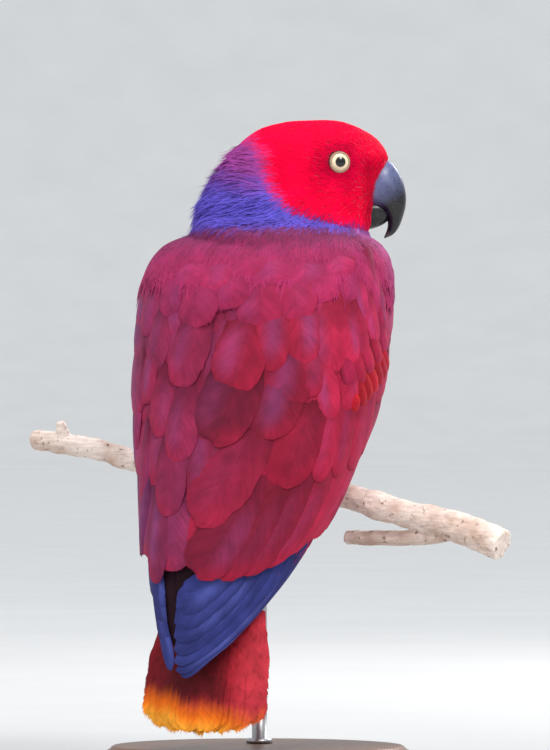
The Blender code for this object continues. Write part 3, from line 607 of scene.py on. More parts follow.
def markings(points):
    """The plumage's colours at places on the body, the same for skin and coat, with a painted lavender rim
    highlight on the sides of the breast and painted shade round the eyes.
    """
    ahead, _, up = in_head(points)
    inside = inside_red(ahead, up)
    wave = np.sin(points[..., 0] * 0.55) * 0.6 + np.sin(points[..., 1] * 0.7 + 1) * 0.6
    soft = 1.5 + 4.5 * step_up(ahead, -16, -30)
    red = step_up(inside + wave, -soft, soft)
    plum = step_up(up, 276, 300) * step_up(inside, -26, -8)
    collar = step_up(inside, -5, -1) * step_up(ahead, -26, -10)
    colour = mixed(VIOLET_DARK, VIOLET, step_up(up, 240, 268))
    angle = np.degrees(np.arctan2(np.abs(points[..., 0]), points[..., 1] - 5))
    belly = step_up(up, 262, 240) * step_up(angle, 112, 88)
    colour = mixed(colour, BELLY, belly)
    colour = mixed(colour, VENT, step_up(up, 112, 92) * step_up(angle, 150, 130))
    rump = step_up(angle, 78, 100) * step_up(up, 92, 80)
    foot = VIOLET_FOOT - 5 * step_up(angle, 110, 60)
    back = step_up(angle, 56, 72) * step_up(up, foot + 3, foot - 4)
    colour = mixed(colour, mixed(MANTLE, MANTLE_DARK, step_up(up, 242, 258)), back)
    colour = mixed(colour, TAIL_RED * 0.7, rump)
    # Painted highlight: a lavender band down the sides of the breast in front of the wings, where rim light
    # falls
    band = step_up(angle, 46, 58) * step_up(angle, 84, 70) * step_up(up, 222, 236) * step_up(up, 266, 258)
    colour = mixed(colour, RIM_LIGHT_LAVENDER, band * 0.5)
    colour = mixed(colour, PLUM, plum * 0.9)
    colour = mixed(colour, COLLAR, collar * 0.75)
    colour = mixed(colour, CRIMSON, red)
    colour = mixed(colour, COLLAR, step_up(np.abs(inside), 4, 1) * 0.5 * step_up(ahead, -24, -8))
    # Painted shade in deep crimson round each eye, on the red parts
    for eye_side in (1, -1):
        away = np.linalg.norm(points - eye_centre(eye_side) - eye_axis(eye_side) * 5, axis=-1)
        shadow = 0.55 * step_up(away, 24, 7) + 0.25 * step_up(away, 12, 5)
        colour = mixed(colour, CRIMSON_EYE_SHADE, shadow * red)
    return colour


def new_mesh(name, points, faces):
    """A mesh from points in millimetres and rows of four corners, the fourth -1 on a triangle."""
    mesh = bpy.data.meshes.new(name)
    faces = np.asarray(faces, np.int64)
    corners = faces.ravel()
    corners = corners[corners >= 0].astype(np.int32)
    sizes = np.where(faces[:, 3] < 0, 3, 4)
    starts = np.concatenate([[0], np.cumsum(sizes)[:-1]]).astype(np.int32)
    mesh.vertices.add(len(points))
    mesh.vertices.foreach_set("co", to_scene(points).astype(np.float32).ravel())
    mesh.loops.add(len(corners))
    mesh.loops.foreach_set("vertex_index", corners)
    mesh.polygons.add(len(faces))
    mesh.polygons.foreach_set("loop_start", starts)
    mesh.update(calc_edges=True)
    return mesh, corners


def placed(name, mesh, material, replaced=()):
    """Puts a mesh in the scene as a piece that rides with the still model."""
    obj = bpy.data.objects.new(name, mesh)
    bpy.context.scene.collection.objects.link(obj)
    mesh.materials.clear()
    mesh.materials.append(material)
    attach(obj, "root")
    if replaced:
        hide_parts(*replaced)
    return obj


def add_colour(mesh, colours):
    """Stores a colour at each vertex."""
    whole = np.ones((len(colours), 4), np.float32)
    whole[:, :3] = colours
    mesh.attributes.new("tint", "FLOAT_COLOR", "POINT").data.foreach_set("color", whole.ravel())


def add_vector(mesh, name, values):
    """Stores a vector at each vertex under a name."""
    flat = np.asarray(values, np.float32).ravel()
    mesh.attributes.new(name, "FLOAT_VECTOR", "POINT").data.foreach_set("vector", flat)


def plain_piece(name, points, faces, material, slot, replaced=(), colours=None, coords=None):
    """Builds a piece from points and faces, with the mesh's own normals."""
    mesh, _ = new_mesh(name, points.reshape(-1, 3), faces)
    if colours is not None:
        add_colour(mesh, colours.reshape(-1, 3))
    if coords is not None:
        add_vector(mesh, "feather", coords)
    return placed(name, mesh, material, replaced)


def coat_piece(name, batch, material, slot):
    """Joins a batch of feathers into one piece, with its bake patches and its soft normals."""
    mesh, corners = new_mesh(name, batch["points"], batch["faces"])
    add_colour(mesh, batch["colours"])
    add_vector(mesh, "feather", batch["coords"])
    roots, coords = batch["roots"], batch["coords"]
    turn = np.arctan2(roots[:, 0], roots[:, 1]) / (2 * math.pi) + 0.5
    patch, tall = 0.003, 340
    flat = np.stack([turn + coords[:, 0] * patch / 2, roots[:, 2] / tall + coords[:, 1] * patch], -1)
    layer = mesh.uv_layers.new(name="OFBake")
    layer.data.foreach_set("uv", flat[corners].astype(np.float32).ravel())
    normals = batch["normals"] * np.array([-1, -1, 1])
    mesh.normals_split_custom_set_from_vertices(normals.astype(np.float32))
    return placed(name, mesh, material)


def joined(batches):
    """Several batches of feathers as one."""
    made = {key: np.concatenate([b[key] for b in batches]) for key in batches[0] if key != "faces"}
    faces, shift = [], 0
    for b in batches:
        faces.append(np.where(b["faces"] < 0, -1, b["faces"] + shift))
        shift += len(b["points"])
    made["faces"] = np.concatenate(faces)
    return made


def grid_faces(rows, cols, closed_round=False):
    """Quads over a grid of rows and columns, closed round its columns if asked."""
    r = np.arange(rows - 1)[:, None]
    k = np.arange(cols if closed_round else cols - 1)[None, :]
    a = r * cols + k
    b = r * cols + (k + 1) % cols
    return np.stack([a, b, b + cols, a + cols], -1).reshape(-1, 4)


def sheet_faces(rows, cols):
    """A closed thin sheet: a grid on top, one below and a rim between them."""
    top = grid_faces(rows, cols)
    low = rows * cols
    rim = [k for k in range(cols)]
    rim += [r * cols + cols - 1 for r in range(1, rows)]
    rim += [(rows - 1) * cols + k for k in range(cols - 2, -1, -1)]
    rim += [r * cols for r in range(rows - 2, 0, -1)]
    rim = np.array(rim)
    after = np.roll(rim, -1)
    sides = np.stack([after, rim, rim + low, after + low], -1)
    return np.concatenate([top, top[:, ::-1] + low, sides])


def repeated(faces, count, size):
    """The same faces for each of count copies of a shape with size points."""
    shifts = np.arange(count)[:, None, None] * size
    return np.where(faces[None] < 0, -1, faces[None] + shifts).reshape(-1, 4)


def tube_points(route, radii, sides, first_side):
    """Rings of points round a route, each from first_side on or as near to it as can be."""
    route = np.asarray(route, float)
    ways = unit(np.gradient(route, axis=0))
    side = np.array(first_side)
    rings = []
    angles = full_turn(sides)[:, None]
    for place, way, radius in zip(route, ways, radii):
        side = unit(side - way * (side @ way))
        other = np.cross(way, side)
        rings.append(place + radius * (np.cos(angles) * side + np.sin(angles) * other))
    return np.array(rings)


def closed_loft(rings, first=None, last=None):
    """Points and faces of a closed surface through rings, its ends drawn to a point each."""
    rows, cols = rings.shape[:2]
    first = rings[0].mean(0) if first is None else np.asarray(first, float)
    last = rings[-1].mean(0) if last is None else np.asarray(last, float)
    points = np.concatenate([rings.reshape(-1, 3), [first, last]])
    faces = [grid_faces(rows, cols, True)]
    k = np.arange(cols)
    after = (k + 1) % cols
    none = np.full(cols, -1)
    faces.append(np.stack([after, k, np.full(cols, rows * cols), none], -1))
    end = (rows - 1) * cols
    faces.append(np.stack([end + k, end + after, np.full(cols, rows * cols + 1), none], -1))
    return points, np.concatenate(faces)


def together(parts):
    """Points and faces of several closed surfaces as one list each."""
    points, faces, shift = [], [], 0
    for spots, corners in parts:
        points.append(spots)
        faces.append(np.where(corners < 0, -1, corners + shift))
        shift += len(spots)
    return np.concatenate(points), np.concatenate(faces)


def remeshed(name, points, faces, size, smoothings):
    """One closed skin round overlapping closed surfaces, in millimetres again."""
    mesh, _ = new_mesh(name, points, faces)
    obj = bpy.data.objects.new(name, mesh)
    bpy.context.scene.collection.objects.link(obj)
    melt = obj.modifiers.new("melt", "REMESH")
    melt.mode = "VOXEL"
    melt.voxel_size = size * MM
    soft = obj.modifiers.new("soft", "SMOOTH")
    soft.iterations = smoothings
    bpy.context.view_layer.update()
    graph = bpy.context.evaluated_depsgraph_get()
    made = bpy.data.meshes.new_from_object(obj.evaluated_get(graph))
    bpy.data.objects.remove(obj)
    spots = np.empty(len(made.vertices) * 3, np.float32)
    made.vertices.foreach_get("co", spots)
    normals = np.empty(len(made.vertices) * 3, np.float32)
    made.vertices.foreach_get("normal", normals)
    quads = np.empty(len(made.loops), np.int32)
    made.loops.foreach_get("vertex_index", quads)
    bpy.data.meshes.remove(made)
    turn = np.array([-1.0, -1.0, 1.0])
    spots = spots.reshape(-1, 3) / MM * turn - np.array([0, 0, LIFT])
    return spots, normals.reshape(-1, 3) * turn, quads.reshape(-1, 4)


def body_surface():
    """The head, neck and trunk as one closed surface."""
    rows, sides = 150, 90
    t = np.arange(rows + 1) / rows
    low, high = BODY[0][0], BODY[-1][0]
    up = low + (high - low) * (t - RING_CROWDING * np.sin(2 * math.pi * t))
    rings = section_point(BODY, up[:, None], np.arange(sides)[None] * 360 / sides)
    foot, crown = at_height(BODY, np.array([low, high]))[:, :2]
    return closed_loft(rings, (*foot, low - 1.5), (*crown, high + 0.9))


def core_surface(side, low, high, edges, depths):
    """A curved slab under the wing feathers, between an outer and an inner depth."""
    rows, cols = 60, 40
    up = np.linspace(low, high, rows)[:, None]
    share = np.linspace(0, 1, cols)[None]
    front, back = edges(up)
    degrees = front + (back - front) * share
    up = np.broadcast_to(up, degrees.shape)
    outer, inner = depths(up)
    top = wing_point(side * degrees, up, outer - edge_drop(degrees, up))
    bottom = wing_point(side * degrees, up, inner)
    faces = sheet_faces(rows, cols)
    return np.concatenate([top.reshape(-1, 3), bottom.reshape(-1, 3)]), faces


def wing_depths(up):
    """The outer and inner face of a wing's core, as heights over the wings' outline."""
    ease = np.maximum((up - WING_TOP + CORE_EASE) / CORE_EASE, 0.0)
    outer = -CORE_DROP - 5.0 * ease**2
    return outer, outer - 3.0 - 9.0 * np.clip((up - WING_SKIN_FOOT) / 50, 0, 1)


def wing_edges(up):
    """Front and back edge of a folded wing at heights, in degrees round."""
    return np.moveaxis(at_height(WING_EDGES, up), -1, 0)


def leg_surface(side):
    """A feathered leg from the belly down to the branch, as a closed surface."""
    middle = side * FOOT_RIGHT
    up = at_height(PERCH_ROUTE, np.array(float(middle)))[0] + 6.5
    spots = ((3, 168, 8.5), (8, 157, 9.2), (13, up + 10, 6.8), (PERCH_FORWARD - 1, up + 2.5, 4.2))
    t = np.linspace(0, 3, 16)
    forward, ups, radii = (np.interp(t, range(4), column) for column in zip(*spots))
    route = np.stack([np.full(len(t), float(middle)), forward, ups], -1)
    return closed_loft(tube_points(route, radii, 24, TO_RIGHT))


def coat_depth(points):
    """How deep the skin lies under the outside of the coat."""
    depth = 0.7 + 0.5 * step_up(points[:, 2], 285, 255)
    ahead, _, up = in_head(points)
    at_bill = step_up(ahead, 20, 27) * step_up(up, 262, 268)
    return depth * (1 - 0.6 * at_bill)


def mantle_edges(up):
    """The sides of the mantle's core at heights, in degrees round."""
    return np.full(up.shape, 74.0), np.full(up.shape, 286.0)


def mantle_depths(up):
    """The outer and inner face of the mantle's core, as heights over the wings' outline."""
    outer = -0.3 - 3.5 * np.maximum((up - WING_TOP + CORE_EASE) / CORE_EASE, 0.0) ** 2
    outer = outer - 2.3 * step_up(up, 214, 196)
    return outer, outer - 10.0


def build_skin():
    """One skin for head, neck, torso, tail, wings and legs, with the hollows round the eyes."""
    parts = [body_surface()]
    for _, side in SIDES:
        parts.append(core_surface(side, WING_SKIN_FOOT, WING_TOP, wing_edges, wing_depths))
        parts.append(leg_surface(side))
    parts.append(core_surface(1, 196, WING_TOP + 6, mantle_edges, mantle_depths))
    points, normals, quads = remeshed("skin", *together(parts), SKIN_VOXEL, 8)
    points = points - normals * coat_depth(points)[:, None]
    for _, side in SIDES:
        axis = eye_axis(side)
        along, across = from_eye(points, side)
        dip = 0.9 * step_up(across, 12, 7) * (along > -3)
        points = points - dip[:, None] * axis
    return points, normals, quads


def skin_piece(skin):
    """The skin as a piece, with the markings a little darker than on the coat."""
    points, _, quads = skin
    mesh, _ = new_mesh("skin", points, quads)
    add_colour(mesh, markings(points) * 0.8)
    nodes = ("head", "neck", "torso", "tail", "wing_right", "wing_left", "leg_right", "leg_left")
    return placed("skin", mesh, skin_material(), nodes)


def thinned(points, spacing):
    """Picks points, in their order, that stay a spacing apart."""
    kept, cells = [], {}
    near = [(a, b, c) for a in (-1, 0, 1) for b in (-1, 0, 1) for c in (-1, 0, 1)]
    limit = spacing * spacing
    for i, place in enumerate(points.tolist()):
        x, y, z = (int(v // spacing) for v in place)
        clear = True
        for a, b, c in near:
            for q in cells.get((x + a, y + b, z + c), ()):
                if (place[0] - q[0]) ** 2 + (place[1] - q[1]) ** 2 + (place[2] - q[2]) ** 2 < limit:
                    clear = False
                    break
            if not clear:
                break
        if clear:
            kept.append(i)
            cells.setdefault((x, y, z), []).append(place)
    return np.array(kept, int)


def scattered(skin, spacing, inside, draw):
    """Roots spread evenly over the skin where inside() is true, and thinner where it is below 1."""
    points, _, quads = skin
    corners = points[quads]
    diagonals = corners[:, 2] - corners[:, 0], corners[:, 3] - corners[:, 1]
    area = np.linalg.norm(np.cross(*diagonals), axis=-1) / 2
    area = area * inside(corners.mean(1))
    tries = 3.2
    count = int(area.sum() / spacing**2 * tries)
    face = draw.choice(len(quads), count, p=area / area.sum())
    u, v = draw.random((2, count, 1))
    c = corners[face]
    spots = (c[:, 0] * (1 - u) + c[:, 1] * u) * (1 - v) + (c[:, 3] * (1 - u) + c[:, 2] * u) * v
    return spots[thinned(spots, spacing)]


def lie_of_coat(points):
    """The way that the plumage lies: back from the bill on the head, then down and tailwards."""
    bill = head_point(*BILL_BASE)
    off = unit(points - bill)
    on_head = step_up(points[..., 2], 252, 284)
    down = np.array([0.0, -0.18, -1.0])
    under = np.array([0.0, -0.75, -1.0])
    body = mixed(under, down, step_up(points[..., 2], 150, 176))
    return unit(mixed(body, off, on_head))


class Skin:
    """The skin as a surface that feathers are laid on."""

    def __init__(self, skin):
        points, normals, quads = skin
        self.tree = BVHTree.FromPolygons(points.tolist(), quads.tolist())
        self.normals = unit(normals[quads].sum(1))

    def nearest(self, places):
        """The nearest places on the skin, and the directions square to it there."""
        found = [self.tree.find_nearest(p)[::2] for p in places.tolist()]
        spots = np.array([f[0] for f in found])
        return spots, self.normals[np.array([f[1] for f in found])]


def walked(surface, starts, lengths, shares, draw, wander):
    """Paths over the skin along the lie of the coat, with the skin's normals on the way."""
    places, normals = surface.nearest(starts)
    twist = draw.normal(0, wander, len(starts))
    paths, facing, ways = [], [], []
    before = 0.0
    for share in shares:
        way = lie_of_coat(places)
        way = unit(way - normals * np.sum(way * normals, -1, keepdims=True))
        across = np.cross(normals, way)
        way = way * np.cos(twist)[:, None] + across * np.sin(twist)[:, None]
        if share > before:
            places, normals = surface.nearest(places + way * (lengths * (share - before))[:, None])
        before = share
        paths.append(places)
        facing.append(normals)
        ways.append(way)
    return [np.stack(v, 1) for v in (paths, facing, ways)]


def tuft_faces():
    """A slim closed tuft of four rows of left, ridge and right points, and a tip."""
    faces = []
    for r in range(3):
        a, b = 3 * r, 3 * r + 3
        faces += [(b, b + 1, a + 1, a), (b + 1, b + 2, a + 2, a + 1), (b + 2, b, a, a + 2)]
    faces += [(12, 10, 9, -1), (12, 11, 10, -1), (12, 9, 11, -1), (0, 1, 2, -1)]
    return np.array(faces)


def tufts(surface, roots, draw, length, width, rise, lift=0.0, wander=0.12, tone=0.1, base=0.0, tint=None):
    """Small feathers laid along the coat, rising from base by rise, and by lift at tips that
    stand out. Sizes may be one value or one for each root. tint replaces the markings."""
    n = len(roots)
    lengths = length * draw.uniform(0.8, 1.2, n)
    widths = width * draw.uniform(0.8, 1.2, n)
    paths, normals, ways = walked(surface, roots, lengths, TUFT_SHARES, draw, wander)
    across = np.cross(normals, ways)
    t = TUFT_SHARES[None, :, None]
    rise = np.broadcast_to(rise, n) * draw.uniform(0.8, 1.2, n)
    height = rise[:, None, None] * t**0.7 + np.broadcast_to(lift, n)[:, None, None] * t**2.2 - 0.25
    height = height + np.broadcast_to(base, n)[:, None, None]
    half = widths[:, None, None] / 2 * TUFT_WIDTHS[None, :, None]
    middle = paths + normals * height
    ridge = middle + normals * half * 0.5
    left, right = middle - across * half, middle + across * half
    rows = np.stack([left[:, :4], ridge[:, :4], right[:, :4]], 2).reshape(n, 12, 3)
    points = np.concatenate([rows, middle[:, 4:5]], 1)
    lean = np.stack([-across[:, :4], np.zeros_like(across[:, :4]), across[:, :4]], 2).reshape(n, 12, 3)
    facing = np.repeat(normals[:, :4], 3, 1) + lean * 0.3
    facing = unit(np.concatenate([facing, normals[:, 4:5]], 1))
    seed = draw.random(n)
    coords = np.zeros((n, 13, 3))
    coords[:, :12, 0] = np.tile([-1, 0, 1], 4)
    coords[:, :12, 1] = np.repeat(TUFT_SHARES[:4], 3)
    coords[:, 12, 1] = 1
    coords[..., 2] = seed[:, None]
    jitter = draw.normal(0, 1.6, (n, 3))
    ground = markings(paths[:, 2] + jitter) if tint is None else np.tile(tint, (n, 1))
    colours = ground * draw.uniform(1 - tone, 1 + tone, (n, 1))
    shade = 0.86 + 0.18 * coords[..., 1:2]
    return {
        "points": points.reshape(-1, 3),
        "faces": repeated(tuft_faces(), n, 13),
        "normals": facing.reshape(-1, 3),
        "coords": coords.reshape(-1, 3),
        "colours": (colours[:, None] * shade).reshape(-1, 3),
        "roots": np.repeat(paths[:, 0], 13, 0),
    }


def body_angle(points):
    """Degrees round the body from the breast, on either side."""
    centre = at_height(BODY, points[..., 2])
    return np.degrees(np.arctan2(np.abs(points[..., 0] - centre[..., 0]), points[..., 1] - centre[..., 1]))


def under_wing(points):
    """True where the folded wings or the mantle feathers lie over the body."""
    angle = body_angle(points)
    up = points[..., 2]
    edge = at_height(WING_EDGES, up)[..., 0]
    return (up < 259) & (up > 76) & (angle > edge + 16)


def off_bare_parts(points):
    """False on the eyes and lids, and where the bill and the feet come out."""
    clear = np.ones(points.shape[:-1], bool)
    for _, side in SIDES:
        along, across = from_eye(points, side)
        clear &= (across > 5.65) | (along < 0)
    ahead, side, up = in_head(points)
    in_upper = (ahead > 25.8) & (up > 275) & (np.abs(side) < 8.4) & (up < 300.5)
    in_lower = (ahead > 23.4) & (up > 264) & (up <= 275) & (np.abs(side) < 6.8)
    return clear & ~in_upper & ~in_lower


def is_head(points):
    """True on the red head, off its bare parts."""
    ahead, _, up = in_head(points)
    return off_bare_parts(points) & (inside_red(ahead, up) > -2)


def is_neck(points):
    """True on the violet nape and neck, down to the mantle."""
    ahead, _, up = in_head(points)
    on_back = (up < 254) & (body_angle(points) > 84)
    return (inside_red(ahead, up) <= -2) & (up > 244) & ~under_wing(points) & ~on_back


def is_mantle(points):
    """How thick the fine down over the mantle lies."""
    up = points[..., 2]
    return (up < 263) * step_up(up, 226, 254) ** 3 * (body_angle(points) > 62)


def is_shoulder(points):
    """How thick the wide tufts under the mantle's down lie, which reach further to the front."""
    up = points[..., 2]
    front = step_up(body_angle(points), 104, 92) * step_up(up, 226, 236)
    return (up < 263) * (body_angle(points) > 58) * np.maximum(step_up(up, 226, 254) ** 3, front)


def is_lore(points):
    """True between the eye and the bill."""
    ahead, _, up = in_head(points)
    return (ahead > 17) & (ahead < 24.5) & (up > 266) & (up < 288) & off_bare_parts(points)


def is_front(points):
    """True on the breast and belly."""
    up = points[..., 2]
    return off_bare_parts(points) & (up <= 244) & (up > 120) & ~under_wing(points)


def is_vent(points):
    """True below the belly, on the legs and under the tail."""
    behind = (points[..., 2] < 62) & (body_angle(points) > 84)
    return (points[..., 2] <= 120) & ~under_wing(points) & ~behind


def head_coat(surface, skin, draw):
    """The tufts of the head as a batch for each side, finer round the eyes and at the bill."""
    roots = scattered(skin, HEAD_SPACING, is_head, draw)
    ahead, side, up = in_head(roots)
    near_bill = step_up(ahead, 12, 25)
    off_eyes = np.ones(len(roots))
    for _, eye in SIDES:
        off_eyes *= step_up(np.linalg.norm(roots - eye_centre(eye), axis=-1), 7, 13)
    length = (6.6 - 4.0 * near_bill) * (0.45 + 0.55 * off_eyes)
    width = (0.74 - 0.2 * near_bill) * (0.7 + 0.3 * off_eyes)
    rise = 0.55 * (0.5 + 0.5 * off_eyes)
    chin = step_up(ahead, 6, 16) * step_up(up, 274, 264)
    brow = step_up(ahead, 20, 26) * step_up(up, 304, 296)
    base = 1.3 * chin + 0.8 * brow + 0.7 * (1 - off_eyes)
    made = {}
    for label, half in (("right", side > 0), ("left", side <= 0)):
        sizes = length[half], width[half], rise[half]
        made[f"coat_head_{label}"] = tufts(surface, roots[half], draw, *sizes, base=base[half])
    return made


def neck_coat(surface, skin, draw):
    """The tufts of the neck, longer and standing out at the nape."""
    roots = scattered(skin, NECK_SPACING, is_neck, draw)
    ahead, _, up = in_head(roots)
    nape = step_up(ahead, -18, -34) * step_up(up, 258, 268)
    length = 8.0 + 4.5 * nape
    stand_out = nape * np.maximum(draw.normal(0.5, 1.8, len(roots)), 0)
    base = mantle_base(roots, 1.2)
    return tufts(surface, roots, draw, length, 0.9, 1.2, stand_out, 0.2, 0.14, base)


def mantle_coat(surface, skin, draw):
    """Fine down over the top of the mantle, and wide tufts under it that close its gaps."""
    roots = scattered(skin, MANTLE_SPACING, is_mantle, draw)
    to_neck = step_up(roots[:, 2], 236, 264)
    sizes = 11 - 2 * to_neck, 1.3 - 0.5 * to_neck, 0.7
    over = tufts(surface, roots, draw, *sizes, wander=0.2, tone=0.14, base=mantle_base(roots, 0.6))
    roots = scattered(skin, UNDER_SPACING, is_shoulder, draw)
    base = mantle_base(roots, 1.3)
    under = tufts(surface, roots, draw, 10, 3.6, 0.6, wander=0.1, tone=0.08, base=base)
    return joined([over, under])


def build_coat(surface, skin):
    """The small feathers of the head, neck, mantle, breast, belly and legs, as batches by piece."""
    draw = np.random.default_rng(SEED)
    batches = head_coat(surface, skin, draw)
    batches["coat_neck"] = neck_coat(surface, skin, draw)
    batches["coat_mantle_soft"] = mantle_coat(surface, skin, draw)
    roots = scattered(skin, BRISTLE_SPACING, is_lore, draw)
    batches["coat_bristles"] = tufts(
        surface, roots, draw, 4.4, 0.2, 1.2, lift=0.5, wander=0.3, base=0.5, tint=BRISTLE
    )
    roots = scattered(skin, BREAST_SPACING, is_front, draw)
    batches["coat_breast"] = tufts(surface, roots, draw, 11.5, 3.0, 1.5, wander=0.15, tone=0.14)
    roots = scattered(skin, BREAST_SPACING, is_vent, draw)
    batches["coat_vent"] = tufts(surface, roots, draw, 13.0, 3.4, 1.5, tone=0.14)
    return batches


def mantle_base(points, rise):
    """How high tufts that rise by so much start over the skin, to end level with the mantle."""
    height = np.interp(points[:, 2], *MANTLE_HEIGHTS)
    back = step_up(body_angle(points), 56, 78)
    return (1.3 + (height - 1.3) * back) - rise


def vane_outline(t, kind):
    """The half width of a vane along its length, as a share of the widest."""
    full = 0.8 if kind == "primary" else 0.6
    grow = 0.62 + 0.38 * np.sin(np.clip(t / full, 0, 1) * math.pi / 2)
    power = 2.0 if kind == "primary" else 2.4
    close = np.maximum(1 - np.clip((t - full) / (1 - full), 0, 1) ** power, 0) ** (1 / power)
    return np.where(t < full, grow, np.maximum(close, 0.1))


def uneven_edges(n, rows, k, draw):
    """How far vanes reach out as shares of their width: ragged at the edges, with a few notches."""
    edges = 1 + draw.normal(0, 0.018, (n, rows, 2))
    notched = draw.random((n, rows, 2)) < 0.05
    edges -= notched * draw.uniform(0.02, 0.08, (n, rows, 2))
    near = np.where(k < 0, edges[..., :1], edges[..., 1:])
    return 1 + (near - 1) * np.abs(k) ** 4


def vanes(centres, ups, side, widths, root_height, tip_height, draw, kind, colour, camber=0.6):
    """Closed vanes along paths of degrees and height on the wings' outline, one row for each.
    colour(t, k, count) gives the colours at shares along and across."""
    n, rows = centres.shape
    arc = np.linalg.norm(
        section_point(WINGS, ups, centres + 1) - section_point(WINGS, ups, centres - 1), axis=-1
    ) / 2
    way = np.stack([np.gradient(centres, axis=1) * arc, np.gradient(ups, axis=1)], -1)
    way = unit(way)[:, :, None]
    t = vane_shares(rows)[None, :, None]
    k = np.linspace(-1, 1, VANE_COLS)[None, None]
    reach = k * vane_outline(t, kind) * widths[:, None, None] / 2 * uneven_edges(n, rows, k, draw)
    sweep = np.abs(k) ** 1.5 * widths[:, None, None] * 0.16 * (1 - t**2)
    degrees = centres[..., None] - (reach * way[..., 1] - sweep * way[..., 0]) / arc[..., None]
    at_up = ups[..., None] + reach * way[..., 0] + sweep * way[..., 1]
    height = root_height + (tip_height - root_height) * step_up(t, -0.05, 0.62)
    tilt = 0.35
    lift = height - k * tilt + camber * (1 - k**2) * np.minimum(1.0, (1 - t) * 5 + 0.25)
    lift = lift - 0.35 * step_up(t, 0.8, 1.0) + (0.0 if kind == "primary" else OUTER)
    lift = lift + draw.normal(0, 0.05, (n, 1, 1)) - edge_drop(degrees, at_up)
    thick = 0.24 - 0.12 * np.abs(k) ** 3
    top = wing_point(side * degrees, at_up, lift)
    low = wing_point(side * degrees, at_up, lift - thick)
    facing = sheet_normals(top)
    outward = wing_normal(side * degrees, at_up)
    flip = np.sign(np.sum(facing * outward, -1, keepdims=True))
    facing = unit(facing * flip + outward * 0.25)
    along = np.broadcast_to(t, lift.shape)
    across = np.broadcast_to(k, lift.shape)
    colours = colour(along, across, n)
    batch = sheets(top, low, facing, across, along, colours, draw, side < 0)
    if kind == "primary":
        return batch
    count, reach = (190, 1.7) if kind == "soft" else (60, 1.1)
    return joined([batch, fringe(top, facing, colours, top[:, 0, VANE_COLS // 2], draw, count, reach)])


def sheet_normals(top):
    """Directions square to sheets, from their grids of points."""
    down = np.gradient(top, axis=1)
    over = np.gradient(top, axis=2)
    return unit(np.cross(over, down))


def sheets(top, low, facing, across, along, colours, draw, flip):
    """Closed thin sheets as a batch of feathers."""
    n, rows, cols = top.shape[:3]
    size = rows * cols
    faces = sheet_faces(rows, cols)
    if flip:
        faces = faces[:, ::-1]
    seed = np.broadcast_to(draw.random((n, 1, 1)), (n, rows, cols))
    coords = np.stack([across, along, seed], -1).reshape(n, size, 3)

    def both(values):
        """The same values for the upper and the lower face."""
        return np.concatenate([values.reshape(n, size, -1)] * 2, 1).reshape(n * size * 2, -1)

    points = np.concatenate([top.reshape(n, size, 3), low.reshape(n, size, 3)], 1)
    normals = np.concatenate([facing.reshape(n, size, 3), -facing.reshape(n, size, 3)], 1)
    roots = np.broadcast_to(top[:, :1, cols // 2 : cols // 2 + 1], (n, rows, cols, 3))
    return {
        "points": points.reshape(-1, 3),
        "faces": repeated(faces, n, size * 2),
        "normals": normals.reshape(-1, 3),
        "coords": both(coords),
        "colours": both(colours),
        "roots": both(roots),
    }


def fringe(top, facing, colours, root, draw, count, reach):
    """Loose barbs along the margins of vanes, as thin closed spikes that point tipwards."""
    n, rows, cols = top.shape[:3]
    place = draw.uniform(0.3, 0.985, (n, count)) * (rows - 1)
    low = place.astype(int)
    share = (place - low)[..., None]
    left = draw.random((n, count)) < 0.5
    edge, inner = np.where(left, 0, cols - 1), np.where(left, 1, cols - 2)
    which = np.arange(n)[:, None]

    def pick(grid, column):
        """Values along a column of each vane's grid, between its rows."""
        return grid[which, low, column] * (1 - share) + grid[which, low + 1, column] * share

    rim, inside = pick(top, edge), pick(top, inner)
    axis = unit(top[which, low + 1, cols // 2] - top[which, low, cols // 2])
    out = unit(rim - inside)
    up = unit(pick(facing, inner))
    way = unit(axis + out * draw.uniform(0.25, 0.9, (n, count, 1)))
    across = unit(np.cross(up, way))
    base = rim * 0.75 + inside * 0.25 - up * 0.14
    length = reach * draw.uniform(0.5, 1.3, (n, count, 1))
    half = 0.1 + 0.04 * reach
    tip = base + way * length - up * draw.uniform(-0.1, 0.25, (n, count, 1))
    points = np.stack([base - across * half, base + across * half, base + up * 0.15, tip], 2)
    tint = pick(colours, edge) * draw.uniform(0.8, 1.15, (n, count, 1))
    seed = draw.random((n, count, 1))
    along = np.broadcast_to((place / (rows - 1))[..., None], seed.shape)
    coords = np.concatenate([np.where(left, -1, 1)[..., None], along, seed], -1)

    def four(values):
        """The same values for the four corners of each spike."""
        return np.repeat(values.reshape(n * count, -1), 4, 0)

    return {
        "points": points.reshape(-1, 3),
        "faces": repeated(SPIKE_FACES, n * count, 4),
        "normals": four(up),
        "coords": four(coords),
        "colours": four(tint),
        "roots": four(np.broadcast_to(root[:, None], (n, count, 3))),
    }


def vane_shares(rows):
    """Places of a vane's rows along it, closer together towards the tip."""
    t = np.linspace(0, 1, rows)
    return 1 - (1 - t) ** 1.7


